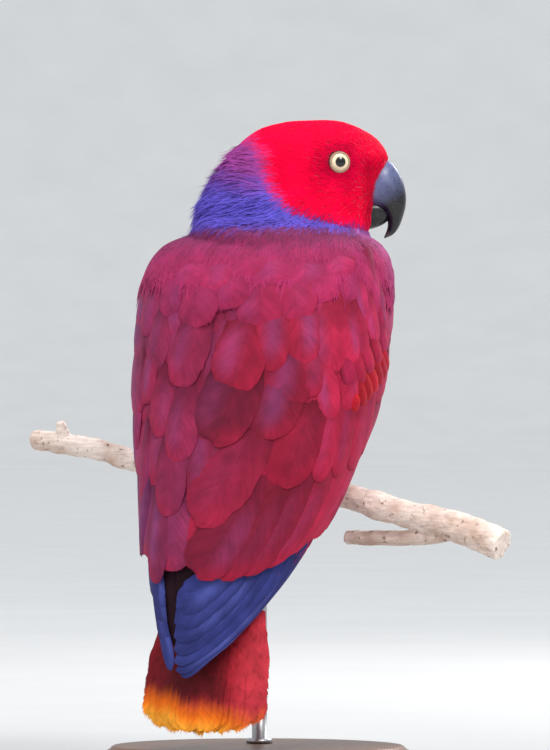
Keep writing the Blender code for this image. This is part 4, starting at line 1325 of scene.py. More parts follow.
def vane_colours(
    base, draw, edge=PINK_EDGE, edge_share=0.5, dark=0.42, cool=COOL_PLUM, cool_share=0.5, spread=0.16
):
    """A colouring with a cool sheen down one side, a redder edge and tip, and a darker root. The cool patch
    is partly the feather's own greyish purple and partly painted sheen. The edge and tip colour is partly
    its own and partly painted light on the lit side. The darker root and margins are painted shade, the root
    where the feather above would shadow it.
    """

    def colour(t, k, n):
        own = (base * draw.uniform(1 - spread, 1 + spread, (n, 1)))[:, None, None]
        warm = draw.uniform(0, 1, (n, 1, 1)) ** 2
        own = mixed(own, edge, warm * edge_share)
        middle = draw.uniform(-0.5, 0.7, (n, 1, 1))
        # Partly the feather's own greyish purple, partly a painted sheen
        inner = step_up(np.abs(k - middle), 0.7, 0.0) * step_up(t, 0.2, 0.5) * step_up(t, 1.0, 0.7)
        made = mixed(own, cool, inner * cool_share * draw.uniform(0.4, 1.5, (n, 1, 1)))
        # Partly the feather's own edge colour, partly painted light down the lit side and round the tip
        rim = step_up(-k * 0.6 + step_up(t, 0.7, 1.0) * 0.8, 0.2, 1.3) * edge_share
        made = mixed(made, edge, rim)
        # Painted shade: the margins and tip a little darker, and the root darker where the feather above
        # would shadow it
        margin = step_up(np.abs(k) + step_up(t, 0.9, 1.0), 0.9, 1.05) * 0.1
        return made * (1 - dark * step_up(t, 0.62, 0.2) - margin)[..., None]

    return colour


def edged_colours(draw, high):
    """A colouring of dark red with a bright orange-red edge down one side and round the tip, and painted
    shade down the other side and towards the root.
    """

    def colour(t, k, n):
        own = (DEEP_RED * draw.uniform(0.85, 1.3, (n, 1)))[:, None, None]
        own = mixed(own, MANTLE, high * draw.uniform(0.3, 0.8, (n, 1, 1)))
        rim = np.maximum(step_up(-k, 0.1, 0.8), step_up(t, 0.86, 1.0)) * step_up(t, 0.15, 0.5)
        made = mixed(own, ORANGE_RED, rim * draw.uniform(0.1, 0.5, (n, 1, 1)) * (1 - 0.6 * high))
        # Painted shade down one side, where the gaps between these feathers lie, and towards the root
        return made * (1 - 0.45 * step_up(k, 0.4, 1.0) - 0.3 * step_up(t, 0.5, 0.1))[..., None]

    return colour


def wing_tint(degrees, up, side):
    """The colour of a feather by where it lies: bright red low on the right, deeper on the back, plum on the
    left, and violet at the left edge. The feathers' own maroon is the same on both wings, so this change
    from right to left is painted light: bright red where the light falls, and deeper red, plum and violet as
    painted shade with a cool painted sheen."""
    round_it = np.where(side > 0, degrees, 360 - degrees)
    # Painted light across the back: bright red on the lit right, then deeper red, plum and violet as painted
    # shade and cool sheen
    lower = mixed(MAROON_RED, MAROON_DEEP, step_up(round_it, 112, 150))
    lower = mixed(lower, MAROON_PURPLE, step_up(round_it, 165, 200))
    made = mixed(lower, MANTLE, 0.85 * step_up(up, 186, 232))
    return mixed(made, PLUM * 0.55, 0.6 * step_up(round_it, 215, 240) * step_up(round_it, 285, 262))


def curved(root, tip, bend, t):
    """Values at shares t from root to tip, pushed aside by half of bend at the middle."""
    return root + (tip - root) * t + bend * 2 * t * (1 - t)


def tier_vanes(tier, side, draw):
    """A tier of wing feathers as vanes."""
    kind, count, first, last, root_height, tip_height = tier
    f = np.linspace(0, 1, count)[:, None]
    table = np.array(first) * (1 - f) + np.array(last) * f
    table[:, 3] += draw.uniform(-2.0, 2.0, count) * (kind != "primary")
    table[:, 2] += draw.uniform(-1.2, 1.2, count) * (kind != "primary")
    t = vane_shares(VANE_ROWS)[None]
    root_round, root_up, tip_round, tip_up, width = (column[:, None] for column in table.T)
    centres, ups = curved(root_round, tip_round, 0, t), curved(root_up, tip_up, 0, t)
    widths = width[:, 0] * draw.uniform(0.95, 1.05, count)
    heights = root_height, tip_height
    if kind == "primary":
        colour = vane_colours(BLUE[None], draw, BLUE_DARK, 0.4, 0.1, BLUE_LIGHT, 0.4)
        return vanes(centres, ups, side, widths, *heights, draw, kind, colour, 0.3)
    tints = wing_tint(centres[:, -1], ups[:, -1], side)
    colour = vane_colours(tints, draw, cool_share=0.35)
    return vanes(centres, ups, side, widths, *heights, draw, kind, colour)


def tucked(label):
    """True for the layers whose roots run on under the layer above."""
    return not any(word in label for word in ("primary", "secondary", "dark", "slit", "lesser", "bend"))


def shown_colour(label, tints, draw):
    """The colouring of a group of feathers that the photograph shows."""
    count = len(tints)
    if "primary" in label:
        return vane_colours(np.tile(BLUE, (count, 1)), draw, BLUE_DARK, 0.35, 0.1, BLUE_LIGHT, 0.5)
    # Vanes of painted shade, near-black all over, for gaps where there is only shade
    if "dark" in label or "slit" in label:
        return vane_colours(np.tile(DARK, (count, 1)), draw, DARK, 0.0, 0.0, DARK, 0.0)
    if "bend_orange" in label:
        return vane_colours(np.tile(ORANGE_RED * 0.6, (count, 1)), draw, PINK_EDGE, 0.6, 0.6, PINK_EDGE, 0.6)
    if "lesser" in label:
        return edged_colours(draw, float("high" in label))
    share = 0.18 if "secondary" in label or "greater" in label else 0.4
    share = 0.22 if "mantle" in label else share
    # How much painted shadow darkens the roots: little on the secondaries
    dark = 0.12 if "secondary" in label else 0.42
    edge_share = 0.2 if "mantle" in label else 0.4
    return vane_colours(tints, draw, PINK_EDGE, edge_share, dark, cool_share=share, spread=0.06)


def shown_kind(label):
    """How full and how soft the vanes of a group are."""
    if "primary" in label or "dark" in label or "slit" in label:
        return "primary"
    return "soft" if "mantle" in label or "scapular" in label else "covert"


def picture_vanes(label, side, root_height, tip_height, step, rows, draw):
    """Vanes placed by where the photograph shows them, each lower than the one before by step."""
    table = np.array([(*row, 1.0)[:7] for row in rows], float)
    t = vane_shares(VANE_ROWS)[None]
    tip_x, tip_y, root_x, root_y, bend, width, tone = (column[:, None] for column in table.T)
    if tucked(label):
        root_x, root_y = root_x + (root_x - tip_x) * TUCK, root_y + (root_y - tip_y) * TUCK
        root_y = np.maximum(root_y, HIGHEST_ROOT)
    x, y = curved(root_x, tip_x, bend, t), curved(root_y, tip_y, bend * 1.4, t)
    degrees, up = from_picture(x, y)
    degrees = smoothed(degrees)
    tints = wing_tint(degrees[:, -1], up[:, -1], 1) * tone
    degrees = degrees if side > 0 else 360 - degrees
    kind = shown_kind(label)
    colour = shown_colour(label, tints, draw)
    widths = width[:, 0] * PHOTO_SCALE
    lower = step * np.arange(len(table))[:, None, None]
    heights = root_height - lower, tip_height - lower
    camber = 0.3 if kind == "primary" else 0.7
    return vanes(degrees, up, side, widths, *heights, draw, kind, colour, camber)


def smoothed(rows, times=6):
    """Takes the small steps out of each row of values."""
    for _ in range(times):
        middle = (rows[:, :-2] + 2 * rows[:, 1:-1] + rows[:, 2:]) / 4
        rows = np.concatenate([rows[:, :1], middle, rows[:, -1:]], 1)
    return rows


def build_wings():
    """The feathers of both wings and the mantle, as batches by piece."""
    draw = np.random.default_rng(SEED + 1)
    made = {}
    for label, side in SIDES:
        coverts = [tier_vanes(tier, side, draw) for tier in TIERS]
        made[f"coat_wing_{label}"] = joined(coverts)
        shown = SHOWN_PRIMARIES if side > 0 else SHOWN_LEFT_PRIMARIES
        seen = picture_vanes("primary", side, -1.2, -0.9, 0.25, shown, draw)
        made[f"coat_primaries_{label}"] = joined([tier_vanes(PRIMARIES[side], side, draw), seen])
    groups = {"coat_back_right": [], "coat_back_left": [], "coat_mantle": []}
    for label, side, *layer in SHOWN:
        name = "coat_mantle" if "mantle" in label else f"coat_back_{'right' if side > 0 else 'left'}"
        groups[name].append(picture_vanes(label, side, *layer, draw))
    for name, parts in groups.items():
        made[name] = joined(parts)
    return made


def tail_half_width(t):
    """Half the width of a tail feather along it: narrow at the root and round at the tip."""
    half = TAIL_WIDTH / 2 * np.where(t < 0.4, 0.6 + 0.37 * t / 0.4, 0.97)
    past = np.maximum(t - 0.86, 0) / 0.145
    return half * np.maximum(1 - past**2.4, 0) ** (1 / 2.4)


def build_tail():
    """Twelve tail feathers as closed vanes, ragged and bright at their tips."""
    draw = np.random.default_rng(SEED + 2)
    rows, cols = TAIL_GRID
    t = vane_shares(rows)[None, :, None]
    k = np.linspace(-1, 1, cols)[None, None]
    pair = np.repeat(np.arange(TAIL_PAIRS), 2)[:, None, None]
    side = np.tile([-1, 1], TAIL_PAIRS)[:, None, None]
    n = len(pair)
    share = pair / (TAIL_PAIRS - 1)
    shift = side * (1.6 + (TAIL_SPREAD - 1.6) * share)
    under = pair * TAIL_STEP + np.where(side > 0, 0.55, 0.0)
    tip_up = TAIL_TIP[2] + TAIL_SHORTENING * share**2 + draw.uniform(0.2, 1.4, (n, 1, 1))
    fray = smoothed(draw.normal(0, 0.9, (n, cols)), 1)[:, None] * step_up(t, 0.8, 1.0)
    ragged = 1 + draw.normal(0, 0.02, (n, rows, cols)) * np.abs(k) ** 4
    up = TAIL_ROOT[2] + (tip_up - TAIL_ROOT[2]) * t + fray - np.abs(k) ** 1.5 * 2.2 * (1 - t**2)
    right = TAIL_ROOT[0] + (TAIL_TIP[0] - TAIL_ROOT[0]) * t + shift * (0.9 + 0.1 * t)
    right = right + k * tail_half_width(t) * ragged
    forward = TAIL_ROOT[1] + (TAIL_TIP[1] - TAIL_ROOT[1]) * t - np.sin(math.pi * t) * 1.2
    forward = forward + (under - 3.2) * np.minimum(0.35 + t, 1.0) + np.abs(k) ** 2 * 0.5
    right, forward, up = np.broadcast_arrays(right, forward, up)
    top = np.stack([right, forward, up], -1)
    facing = sheet_normals(top)
    facing = facing * np.sign(facing @ np.array([0, -1.0, 0]))[..., None]
    # The last rows fold over at the tips, so they take the direction of the row before them
    flat = int(np.searchsorted(t[0, :, 0], 0.8))
    facing[:, flat:] = facing[:, flat - 1 : flat, cols // 2 : cols // 2 + 1]
    low = top - facing * TAIL_THICK
    along, across = np.broadcast_to(t, up.shape), np.broadcast_to(k, up.shape)
    colours = tail_colours(top, draw)
    batch = sheets(top, low, facing, across, along, colours, draw, True)
    roots = top[:, 0, cols // 2]
    return joined([batch, fringe(top, facing, colours, roots, draw, TAIL_BARBS, TAIL_BARB_REACH)])


def tail_colours(points, draw):
    """Red, nearly black down the middle, orange and yellow at the tips, in fine streaks that fan out towards
    both sides. The pinker red on the right is painted light, and the dark middle, which reaches on over the
    left, is partly the tail's own and partly painted shade."""
    shape = (points.shape[0], 1, points.shape[2])
    up = points[..., 2] + draw.normal(0, 1.0, shape) + draw.normal(0, 0.8, (shape[0], 1, 1))
    right = points[..., 0] + draw.normal(0, 1.2, shape)
    # Partly the tail's own dark middle, partly painted shade that reaches on over the left
    middle = step_up(right, 21, 7) * (0.95 - 0.3 * step_up(right, -18, -30))
    # Painted light: pinker towards the right, where the light falls
    pink = step_up(right, 12, 32)
    colour = mixed(mixed(TAIL_RED, TAIL_LIT_PINK, pink), TAIL_DARK, middle * step_up(up, 11, 22))
    fan = right * 0.9 + np.abs(up - 40) * 0.42 * np.sign(right)
    line = np.sin(fan * 1.15 + 1.5 * np.sin(right * 0.35)) + 0.7 * np.sin(fan * 2.7 + 1.0)
    colour = colour * (1 - 0.3 * step_up(line, 0.5, 1.7))[..., None]
    foot = 15 + 6 * step_up(right, 0, -22) - 4 * pink
    colour = mixed(colour, TAIL_ORANGE, step_up(up - foot, 4, -8) * (1 - 0.35 * pink))
    return mixed(colour, TAIL_YELLOW, step_up(up - foot, -5, -15) * (1 - 0.4 * pink))


def ease_rows(rows, count):
    """Rows of numbers read more finely, along a smooth curve through them."""
    table = np.array([(i, *row) for i, row in enumerate(rows)], float)
    return at_height(table, np.linspace(0, len(rows) - 1, count))


def bill_rings(middle, reach, half, sides):
    """Sections of the bill: reach runs from its middle to the ridge, half is across the head."""
    across = head_frame()[1]
    along, side = np.cos(full_turn(sides)), np.sin(full_turn(sides))
    lengthwise = np.sign(along) * np.abs(along) ** 0.9
    sideways = np.sign(side) * np.abs(side) ** 0.8 * (1.0 - 0.18 * along)
    return (
        middle[:, None]
        + reach[:, None] * lengthwise[None, :, None]
        + across * (half[:, None] * sideways[None])[..., None]
    )


def build_bill():
    """Upper and lower bill as horn, each from its ridge round to its inner face."""
    rows, sides = 90, 64
    ahead, up, inner_ahead, inner_up, half = ease_rows(BILL_UPPER, rows).T
    ridge, inner = head_point(ahead, 0, up), head_point(inner_ahead, 0, inner_up)
    rings = bill_rings((ridge + inner) / 2, (ridge - inner) / 2, half, sides)
    t = np.linspace(0, 1, rows)
    to_ridge = np.cos(full_turn(sides))
    notch = np.exp(-(((t - NOTCH_PLACE) / NOTCH_LENGTH) ** 2))
    lower = np.maximum(-to_ridge, 0) ** 3
    rings += unit(ridge - inner)[:, None] * (notch[:, None] * lower[None])[..., None] * NOTCH_DEPTH
    points, faces = closed_loft(rings)
    coords = np.zeros((len(points), 3))
    coords[:-2, 0] = np.tile(to_ridge, rows)
    coords[:-2, 1] = np.repeat(t, sides)
    coords[-1, 1] = 1
    plain_piece("bill_upper_horn", points, faces, HORN, "black_horn", ("bill_upper",), coords=coords)
    rows, sides = 50, 56
    ahead, top, bottom, half = ease_rows(BILL_LOWER, rows).T
    ridge, inner = head_point(ahead, 0, bottom), head_point(ahead, 0, top)
    points, faces = closed_loft(bill_rings((ridge + inner) / 2, (ridge - inner) / 2, half, sides))
    coords = np.zeros((len(points), 3))
    coords[:, 1] = 0.6
    plain_piece("bill_lower_horn", points, faces, HORN, "black_horn", ("bill_lower",), coords=coords)


def build_eyes():
    """Each eyeball, its vertices knowing how far from its axis they lie, and the lid round it."""
    rows, sides = 90, 96
    polar = np.linspace(0.02, math.pi - 0.02, rows)
    turn = full_turn(sides)
    up = np.array([0, 0, 1.0])
    for label, side in SIDES:
        axis, centre = eye_axis(side), eye_centre(side)
        across = unit(np.cross(axis, up))
        around = across * np.cos(turn)[:, None] + up * np.sin(turn)[:, None]
        ball = axis * np.cos(polar)[:, None, None] + around * np.sin(polar)[:, None, None]
        ends = (centre + axis * EYE_RADIUS, centre - axis * EYE_RADIUS)
        points, faces = closed_loft(centre + EYE_RADIUS * ball, *ends)
        coords = np.zeros((len(points), 3))
        coords[:-2, 0] = np.repeat(np.sin(polar) * EYE_RADIUS, sides)
        coords[:-2, 1] = np.tile(turn / (2 * math.pi), rows)
        coords[len(points) // 2 :, 0] = EYE_BEHIND
        coords[-2, 0] = 0
        plain_piece(f"eyeball_{label}", points, faces, EYE, "pale_iris", (f"eye_{label}",), coords=coords)
        build_lid(label, centre, axis, across, up)


def build_lid(label, centre, axis, across, up):
    """A wrinkled ring of bare skin that hugs the eyeball."""
    rings, sides = 120, 20
    turn, spin = full_turn(rings), full_turn(sides)
    around = across * np.cos(turn)[:, None] + up * np.sin(turn)[:, None]
    wrinkle = 0.03 * np.sin(turn * 37) + 0.03 * np.sin(turn * 17 + 1)
    lower = np.maximum(-np.sin(turn), 0)
    wide = LID_WIDTH + 0.2 * lower + wrinkle
    reach = (LID_RADIUS + 0.1 * lower)[:, None] + wide[:, None] * np.cos(spin)
    out = LID_OUT + 0.62 * np.sin(spin) - 0.25 * np.cos(spin)
    points = centre + around[:, None] * reach[..., None] + axis * out[None, :, None]
    faces = grid_faces(rings, sides, True)
    k = np.arange(sides)
    after = (k + 1) % sides
    end = (rings - 1) * sides
    faces = np.concatenate([faces, np.stack([end + k, end + after, after, k], -1)])
    plain_piece(f"lid_{label}", points, faces, LID, "grey_skin")


def build_perch():
    """The branch with its shoots, melted into one bark surface and roughened."""
    rows = ease_rows([(right, PERCH_FORWARD, up, radius) for right, up, radius in PERCH_ROUTE], 160)
    swell = 1 + 0.04 * np.sin(rows[:, 0] * 0.21) + 0.03 * np.sin(rows[:, 0] * 0.47 + 2)
    for knot in KNOTS:
        swell += KNOT_SWELL * np.exp(-(((rows[:, 0] - knot) / KNOT_REACH) ** 2))
    parts = [closed_loft(tube_points(rows[:, :3], rows[:, 3] * swell, 36, TO_FRONT))]
    for *spots, sizes in PERCH_STUBS:
        rows = ease_rows([(*spot, size) for spot, size in zip(spots, sizes)], 30)
        parts.append(closed_loft(tube_points(rows[:, :3], rows[:, 3], 24, TO_FRONT)))
    points, normals, quads = remeshed("bark", *together(parts), BARK_VOXEL, 3)
    stretched = points * np.array([0.35, 1, 1])
    values = [noise.fractal(Vector(p) * 0.33, 0.6, 2.2, 4) for p in stretched.tolist()]
    points = points + normals * (np.array(values) * BARK_ROUGHNESS)[:, None]
    plain_piece("perch_bark", points, quads, BARK, "pale_bark", ("perch",))


def round_perch(right, degrees, reach):
    """Points at an angle round the branch from its top, forwards, and a reach from its middle."""
    right, degrees, reach = np.broadcast_arrays(*(np.asarray(v, float) for v in (right, degrees, reach)))
    up, radius = np.moveaxis(at_height(PERCH_ROUTE, right), -1, 0)
    angle = np.radians(degrees)
    away = radius + reach
    return np.stack([right, PERCH_FORWARD + away * np.sin(angle), up + away * np.cos(angle)], -1)


def foot_sole(middle):
    """The sole that the toes spring from, on top of the branch."""
    polar, turn = np.linspace(0.1, math.pi - 0.1, 24)[:, None], full_turn(32)[None]
    ways = np.sin(polar) * np.cos(turn), np.sin(polar) * np.sin(turn), np.cos(polar) + 0 * turn
    return closed_loft(round_perch(middle, 0, SOLE_UP) + np.stack(ways, -1) * np.array(SOLE))


def toe(middle, end, start_step, end_step):
    """A toe bent round the branch, with a scute to every step and a rounded end."""
    t = np.linspace(0, 1, 70)
    right = middle + start_step + (end_step - start_step) * t
    radius = TOE_RADIUS + (TOE_TIP_RADIUS - TOE_RADIUS) * t
    scute = 0.16 * np.abs(np.sin(t * math.pi * 11)) ** 0.5
    knuckle = 0.22 * np.sin(t * math.pi * 3) ** 2
    past = np.clip((t - 0.9) / 0.1, 0, 1)
    rounded = np.sqrt(np.maximum(1 - past**2, 0.05))
    route = round_perch(right, end * t, radius + 0.25)
    return closed_loft(tube_points(route, (radius + scute + knuckle) * rounded, 24, TO_RIGHT))


def claw(middle, end, end_step):
    """A curved claw from the end of a toe down to its point."""
    t = np.linspace(0, 1, 24)
    degrees = end + math.copysign(3, end) + math.copysign(CLAW_TURN, end) * t
    route = round_perch(middle + end_step, degrees, TOE_TIP_RADIUS + 0.6 - 1.3 * t * t)
    return closed_loft(tube_points(route, CLAW_RADIUS * (1 - t) ** 0.8 + 0.15, 16, TO_RIGHT))


def build_feet():
    """Two feet that grip the branch, two toes forward and two back on each, with their claws."""
    for label, side in SIDES:
        middle = side * FOOT_RIGHT
        parts = [foot_sole(middle)]
        for number, (end, start_step, end_step) in enumerate(TOES, 1):
            parts.append(toe(middle, end, start_step, end_step))
            points, faces = claw(middle, end, end_step)
            claw_name = f"{label}_{number}"
            solid = (f"claw_{claw_name}",)
            plain_piece(f"claw_horn_{claw_name}", points, faces, CLAW, "black_horn", solid)
        plain_piece(f"toes_{label}", *together(parts), SCALES, "grey_skin", (f"foot_{label}",))


def turned(profile, sides):
    """Rings of a shape turned round an upright axis, from its profile of radius and height."""
    turn = full_turn(sides)[None]
    radius, up = (column[:, None] for column in np.array(profile, float).T)
    return np.stack([radius * np.sin(turn), radius * np.cos(turn), up + 0 * turn], -1)


def build_stand():
    """A turned wooden base with a bead round it, and a steel rod with a collar."""
    foot = np.array([0, 0, -LIFT])
    points, faces = closed_loft(turned(BASE_PROFILE, 160) + foot, foot, (0, 0, BASE_THICK - LIFT))
    plain_piece("stand_base_turned", points, faces, WOOD, "stand_wood", ("stand_base",))
    top = at_height(PERCH_ROUTE, np.array(float(ROD_RIGHT)))[0] - ROD_SUNK
    profile = (*ROD_PROFILE, (ROD_PROFILE[-1][0], top))
    points, faces = closed_loft(turned(profile, 40) + np.array([ROD_RIGHT, PERCH_FORWARD, 0.0]))
    plain_piece("stand_rod_turned", points, faces, STEEL, "stand_steel", ("stand_rod",))


def start_material(name):
    """A new material with its node tree and its shader."""
    made = bpy.data.materials.new(name)
    made.use_nodes = True
    return made, made.node_tree, made.node_tree.nodes["Principled BSDF"]


def node(tree, kind, inputs=None, **settings):
    """Adds a shader node. An input is a value or another node's output."""
    made = tree.nodes.new(kind)
    for key, value in settings.items():
        setattr(made, key, value)
    for key, value in (inputs or {}).items():
        if isinstance(value, bpy.types.NodeSocket):
            tree.links.new(value, made.inputs[key])
        else:
            made.inputs[key].default_value = value
    return made


def maths(tree, operation, *values):
    """The result of an operation on values or outputs."""
    return node(tree, "ShaderNodeMath", dict(enumerate(values)), operation=operation).outputs[0]


def times(tree, first, second):
    """The product of two values or outputs."""
    return maths(tree, "MULTIPLY", first, second)


def ranged(tree, value, low, high, to_low, to_high):
    """A value mapped from one range to another and held inside it."""
    inputs = {0: value, 1: low, 2: high, 3: to_low, 4: to_high}
    return node(tree, "ShaderNodeMapRange", inputs).outputs[0]


def swayed(tree, grain, to_low, to_high):
    """A noise, most of which lies between 0.3 and 0.7, as a value from to_low to to_high."""
    return ranged(tree, grain, 0.3, 0.7, to_low, to_high)


def noise_of(tree, vector, scale, detail=2.0, roughness=0.5):
    """A cloudy noise at a place."""
    inputs = {"Vector": vector, "Scale": scale, "Detail": detail, "Roughness": roughness}
    return node(tree, "ShaderNodeTexNoise", inputs).outputs["Fac"]


def object_place(tree):
    """The place of the point that is shaded, in metres."""
    return node(tree, "ShaderNodeTexCoord").outputs["Object"]


def drawn_out(tree, place, scale):
    """A place scaled along each axis, so that noise of it is drawn out where the scale is low."""
    return node(tree, "ShaderNodeMapping", {"Vector": place, "Scale": scale}).outputs[0]


def stored(tree, name, output):
    """What the mesh stores under a name."""
    return node(tree, "ShaderNodeAttribute", attribute_name=name).outputs[output]


def feather_place(tree):
    """How far across and along its feather the point that is shaded lies, and its feather's seed."""
    split = node(tree, "ShaderNodeSeparateXYZ", {0: stored(tree, "feather", "Vector")})
    return split.outputs["X"], split.outputs["Y"], split.outputs["Z"]


def place_of(tree, x, y, z=0.0):
    """A place from three values or outputs."""
    return node(tree, "ShaderNodeCombineXYZ", {"X": x, "Y": y, "Z": z}).outputs[0]


def scaled(tree, colour, factor):
    """A colour made brighter or darker by a factor."""
    inputs = {0: colour, "Scale": factor}
    return node(tree, "ShaderNodeVectorMath", inputs, operation="SCALE").outputs["Vector"]


def blended(tree, first, second, factor):
    """Two colours blended, the second more as factor goes from 0 to 1."""
    made = node(tree, "ShaderNodeMix", {0: factor}, data_type="RGBA")
    for socket, value in ((made.inputs[6], first), (made.inputs[7], second)):
        if isinstance(value, bpy.types.NodeSocket):
            tree.links.new(value, socket)
        else:
            socket.default_value = (*value, 1.0)
    return made.outputs[2]


def completed(tree, shader, colour, grain, rough, height, strength, distance):
    """Gives a shader its colour, a roughness that sways with a grain, and a fine relief."""
    tree.links.new(colour, shader.inputs["Base Color"])
    tree.links.new(swayed(tree, grain, *rough), shader.inputs["Roughness"])
    inputs = {"Height": height, "Strength": strength, "Distance": distance}
    made = node(tree, "ShaderNodeBump", inputs)
    tree.links.new(made.outputs["Normal"], shader.inputs["Normal"])


def plumage_material(name, barbs, slant, shaft, sheen, strength, gloss):
    """Feather finish: barbs running out from a shaft, slight mottling and a soft sheen."""
    made, tree, shader = start_material(name)
    across, along, own = feather_place(tree)
    out = maths(tree, "ABSOLUTE", across)
    barb = maths(tree, "SUBTRACT", along, times(tree, out, slant))
    seed = times(tree, own, 57.0)
    line = place_of(tree, times(tree, barb, barbs), times(tree, across, 1.3), seed)
    fine = noise_of(tree, line, 1.0, 3.0, 0.7)
    band = place_of(tree, times(tree, barb, barbs * 0.16), across, seed)
    bands = noise_of(tree, band, 1.0, 1.0)
    patches = noise_of(tree, object_place(tree), 95.0, 2.0)
    mottling = times(tree, swayed(tree, bands, 0.9, 1.1), swayed(tree, patches, 0.84, 1.16))
    factor = times(tree, ranged(tree, fine, 0.25, 0.75, 0.8, 1.2), mottling)
    colour = scaled(tree, stored(tree, "tint", "Color"), factor)
    height = fine
    if shaft:
        on_shaft = ranged(tree, out, 0.015, 0.05, 1.0, 0.0)
        colour = blended(tree, colour, scaled(tree, colour, 0.6), times(tree, on_shaft, shaft))
        height = maths(tree, "ADD", fine, times(tree, on_shaft, 0.8))
    completed(tree, shader, colour, fine, (0.52, 0.74), height, strength, 0.0002)
    shader.inputs["Specular IOR Level"].default_value = gloss
    shader.inputs["Sheen Weight"].default_value = sheen[0]
    shader.inputs["Sheen Roughness"].default_value = 0.45
    shader.inputs["Sheen Tint"].default_value = (*sheen[1:], 1.0)
    return made


def skin_material():
    """Matt, grainy down under the coat."""
    made, tree, shader = start_material("under_down")
    grain = noise_of(tree, object_place(tree), 900.0, 3.0)
    colour = scaled(tree, stored(tree, "tint", "Color"), swayed(tree, grain, 0.7, 1.2))
    completed(tree, shader, colour, grain, (0.7, 0.9), grain, 0.5, 0.0006)
    return made


def horn_material():
    """Black horn with a painted blue-grey sky sheen at the base, growth lines and worn patches, brown at the
    tip.
    """
    made, tree, shader = start_material("bill_horn")
    place = object_place(tree)
    along = feather_place(tree)[1]
    grain = noise_of(tree, place, 420.0, 4.0, 0.6)
    lines = noise_of(tree, drawn_out(tree, place, (260.0, 260.0, 1400.0)), 1.0, 3.0)
    # Painted sky reflection: blue-grey over the base of the upper bill, fading to black horn
    base = blended(tree, HORN_SKY_SHEEN, HORN_BLACK, ranged(tree, along, 0.0, 0.46, 0.0, 1.0))
    base = blended(tree, base, HORN_TIP, ranged(tree, along, 0.86, 1.0, 0.0, 0.8))
    base = scaled(tree, base, swayed(tree, grain, 0.8, 1.2))
    worn = ranged(tree, noise_of(tree, place, 520.0, 2.0), 0.55, 0.75, 0.0, 0.12)
    base = blended(tree, base, HORN_WORN, worn)
    height = maths(tree, "ADD", lines, times(tree, grain, 0.6))
    completed(tree, shader, base, grain, (0.22, 0.42), height, 0.25, 0.0003)
    return made


def eye_material():
    """Black pupil, cream iris with fine rays and a dark rim, under a clear wet coat."""
    made, tree, shader = start_material("eye")
    radius, turn, _ = feather_place(tree)

    def ring(inner, outer, start, end, share=1.0):
        """Blends from one colour to another between two radii."""
        return blended(tree, inner, outer, ranged(tree, radius, start, end, 0.0, share))

    rays = noise_of(tree, place_of(tree, times(tree, turn, 60.0), times(tree, radius, 0.6)), 1.0, 3.0)
    iris = blended(tree, IRIS_CREAM, IRIS_RAY, ranged(tree, rays, 0.35, 0.75, 0.0, 0.7))
    iris = ring(iris, IRIS_RIM, 4.5, IRIS_RADIUS, 0.8)
    iris = ring(IRIS_INNER, iris, PUPIL_RADIUS, PUPIL_RADIUS + 0.35)
    colour = ring(PUPIL, iris, PUPIL_RADIUS - 0.12, PUPIL_RADIUS + 0.05)
    colour = ring(colour, EYE_BACK, IRIS_RADIUS, IRIS_RADIUS + 0.3)
    completed(tree, shader, colour, rays, (0.12, 0.3), rays, 0.15, 0.0001)
    shader.inputs["Specular IOR Level"].default_value = 0.2
    shader.inputs["Coat Weight"].default_value = 0.9
    shader.inputs["Coat Roughness"].default_value = 0.03
    return made


def bare_skin_material(name, dark, light, scale, rough=0.6):
    """Bare or scaly skin: small cells parted by darker creases."""
    made, tree, shader = start_material(name)
    place = object_place(tree)
    inputs = {"Vector": place, "Scale": scale}
    cells = node(tree, "ShaderNodeTexVoronoi", inputs, feature="DISTANCE_TO_EDGE")
    crease = ranged(tree, cells.outputs["Distance"], 0.0, 0.18, 0.0, 1.0)
    grain = noise_of(tree, place, scale * 0.5, 3.0)
    colour = blended(tree, dark, light, times(tree, crease, swayed(tree, grain, 0.5, 1.0)))
    height = maths(tree, "ADD", crease, grain)
    completed(tree, shader, colour, grain, (rough - 0.12, rough + 0.12), height, 0.5, 0.0003)
    return made


def bark_material():
    """Pale smooth bark with brown flecks and patches, and fine cracks along the branch."""
    made, tree, shader = start_material("bark")
    place = object_place(tree)
    streaks = noise_of(tree, drawn_out(tree, place, (0.16, 1.0, 1.0)), 700.0, 5.0, 0.65)
    patches = noise_of(tree, place, 55.0, 3.0)
    flecks = noise_of(tree, place, 330.0, 2.0)
    colour = blended(tree, BARK_PALE, BARK_BROWN, ranged(tree, patches, 0.45, 0.68, 0.0, 1.0))
    colour = blended(tree, colour, BARK_FLECK, ranged(tree, flecks, 0.62, 0.72, 0.0, 0.8))
    colour = scaled(tree, colour, swayed(tree, streaks, 0.76, 1.16))
    height = maths(tree, "ADD", streaks, flecks)
    completed(tree, shader, colour, streaks, (0.62, 0.86), height, 0.55, 0.0006)
    return made


def wood_material():
    """Dark turned wood with its grain along one way."""
    made, tree, shader = start_material("turned_wood")
    along = drawn_out(tree, object_place(tree), (1.0, 0.09, 1.0))
    grain = noise_of(tree, along, 900.0, 4.0, 0.7)
    warp = ranged(tree, noise_of(tree, along, 36.0, 3.0), 0.35, 0.65, 0.0, 1.0)
    colour = scaled(tree, blended(tree, WOOD_DARK, WOOD_LIGHT, warp), swayed(tree, grain, 0.72, 1.2))
    completed(tree, shader, colour, grain, (0.3, 0.46), grain, 0.2, 0.0002)
    return made


def steel_material():
    """Steel brushed round the rod."""
    made, tree, shader = start_material("brushed_steel")
    brush = noise_of(tree, drawn_out(tree, object_place(tree), (1.0, 1.0, 26.0)), 160.0, 3.0)
    colour = blended(tree, STEEL_DARK, STEEL_LIGHT, brush)
    completed(tree, shader, colour, brush, (0.3, 0.46), brush, 0.1, 0.0001)
    shader.inputs["Metallic"].default_value = 1.0
    return made


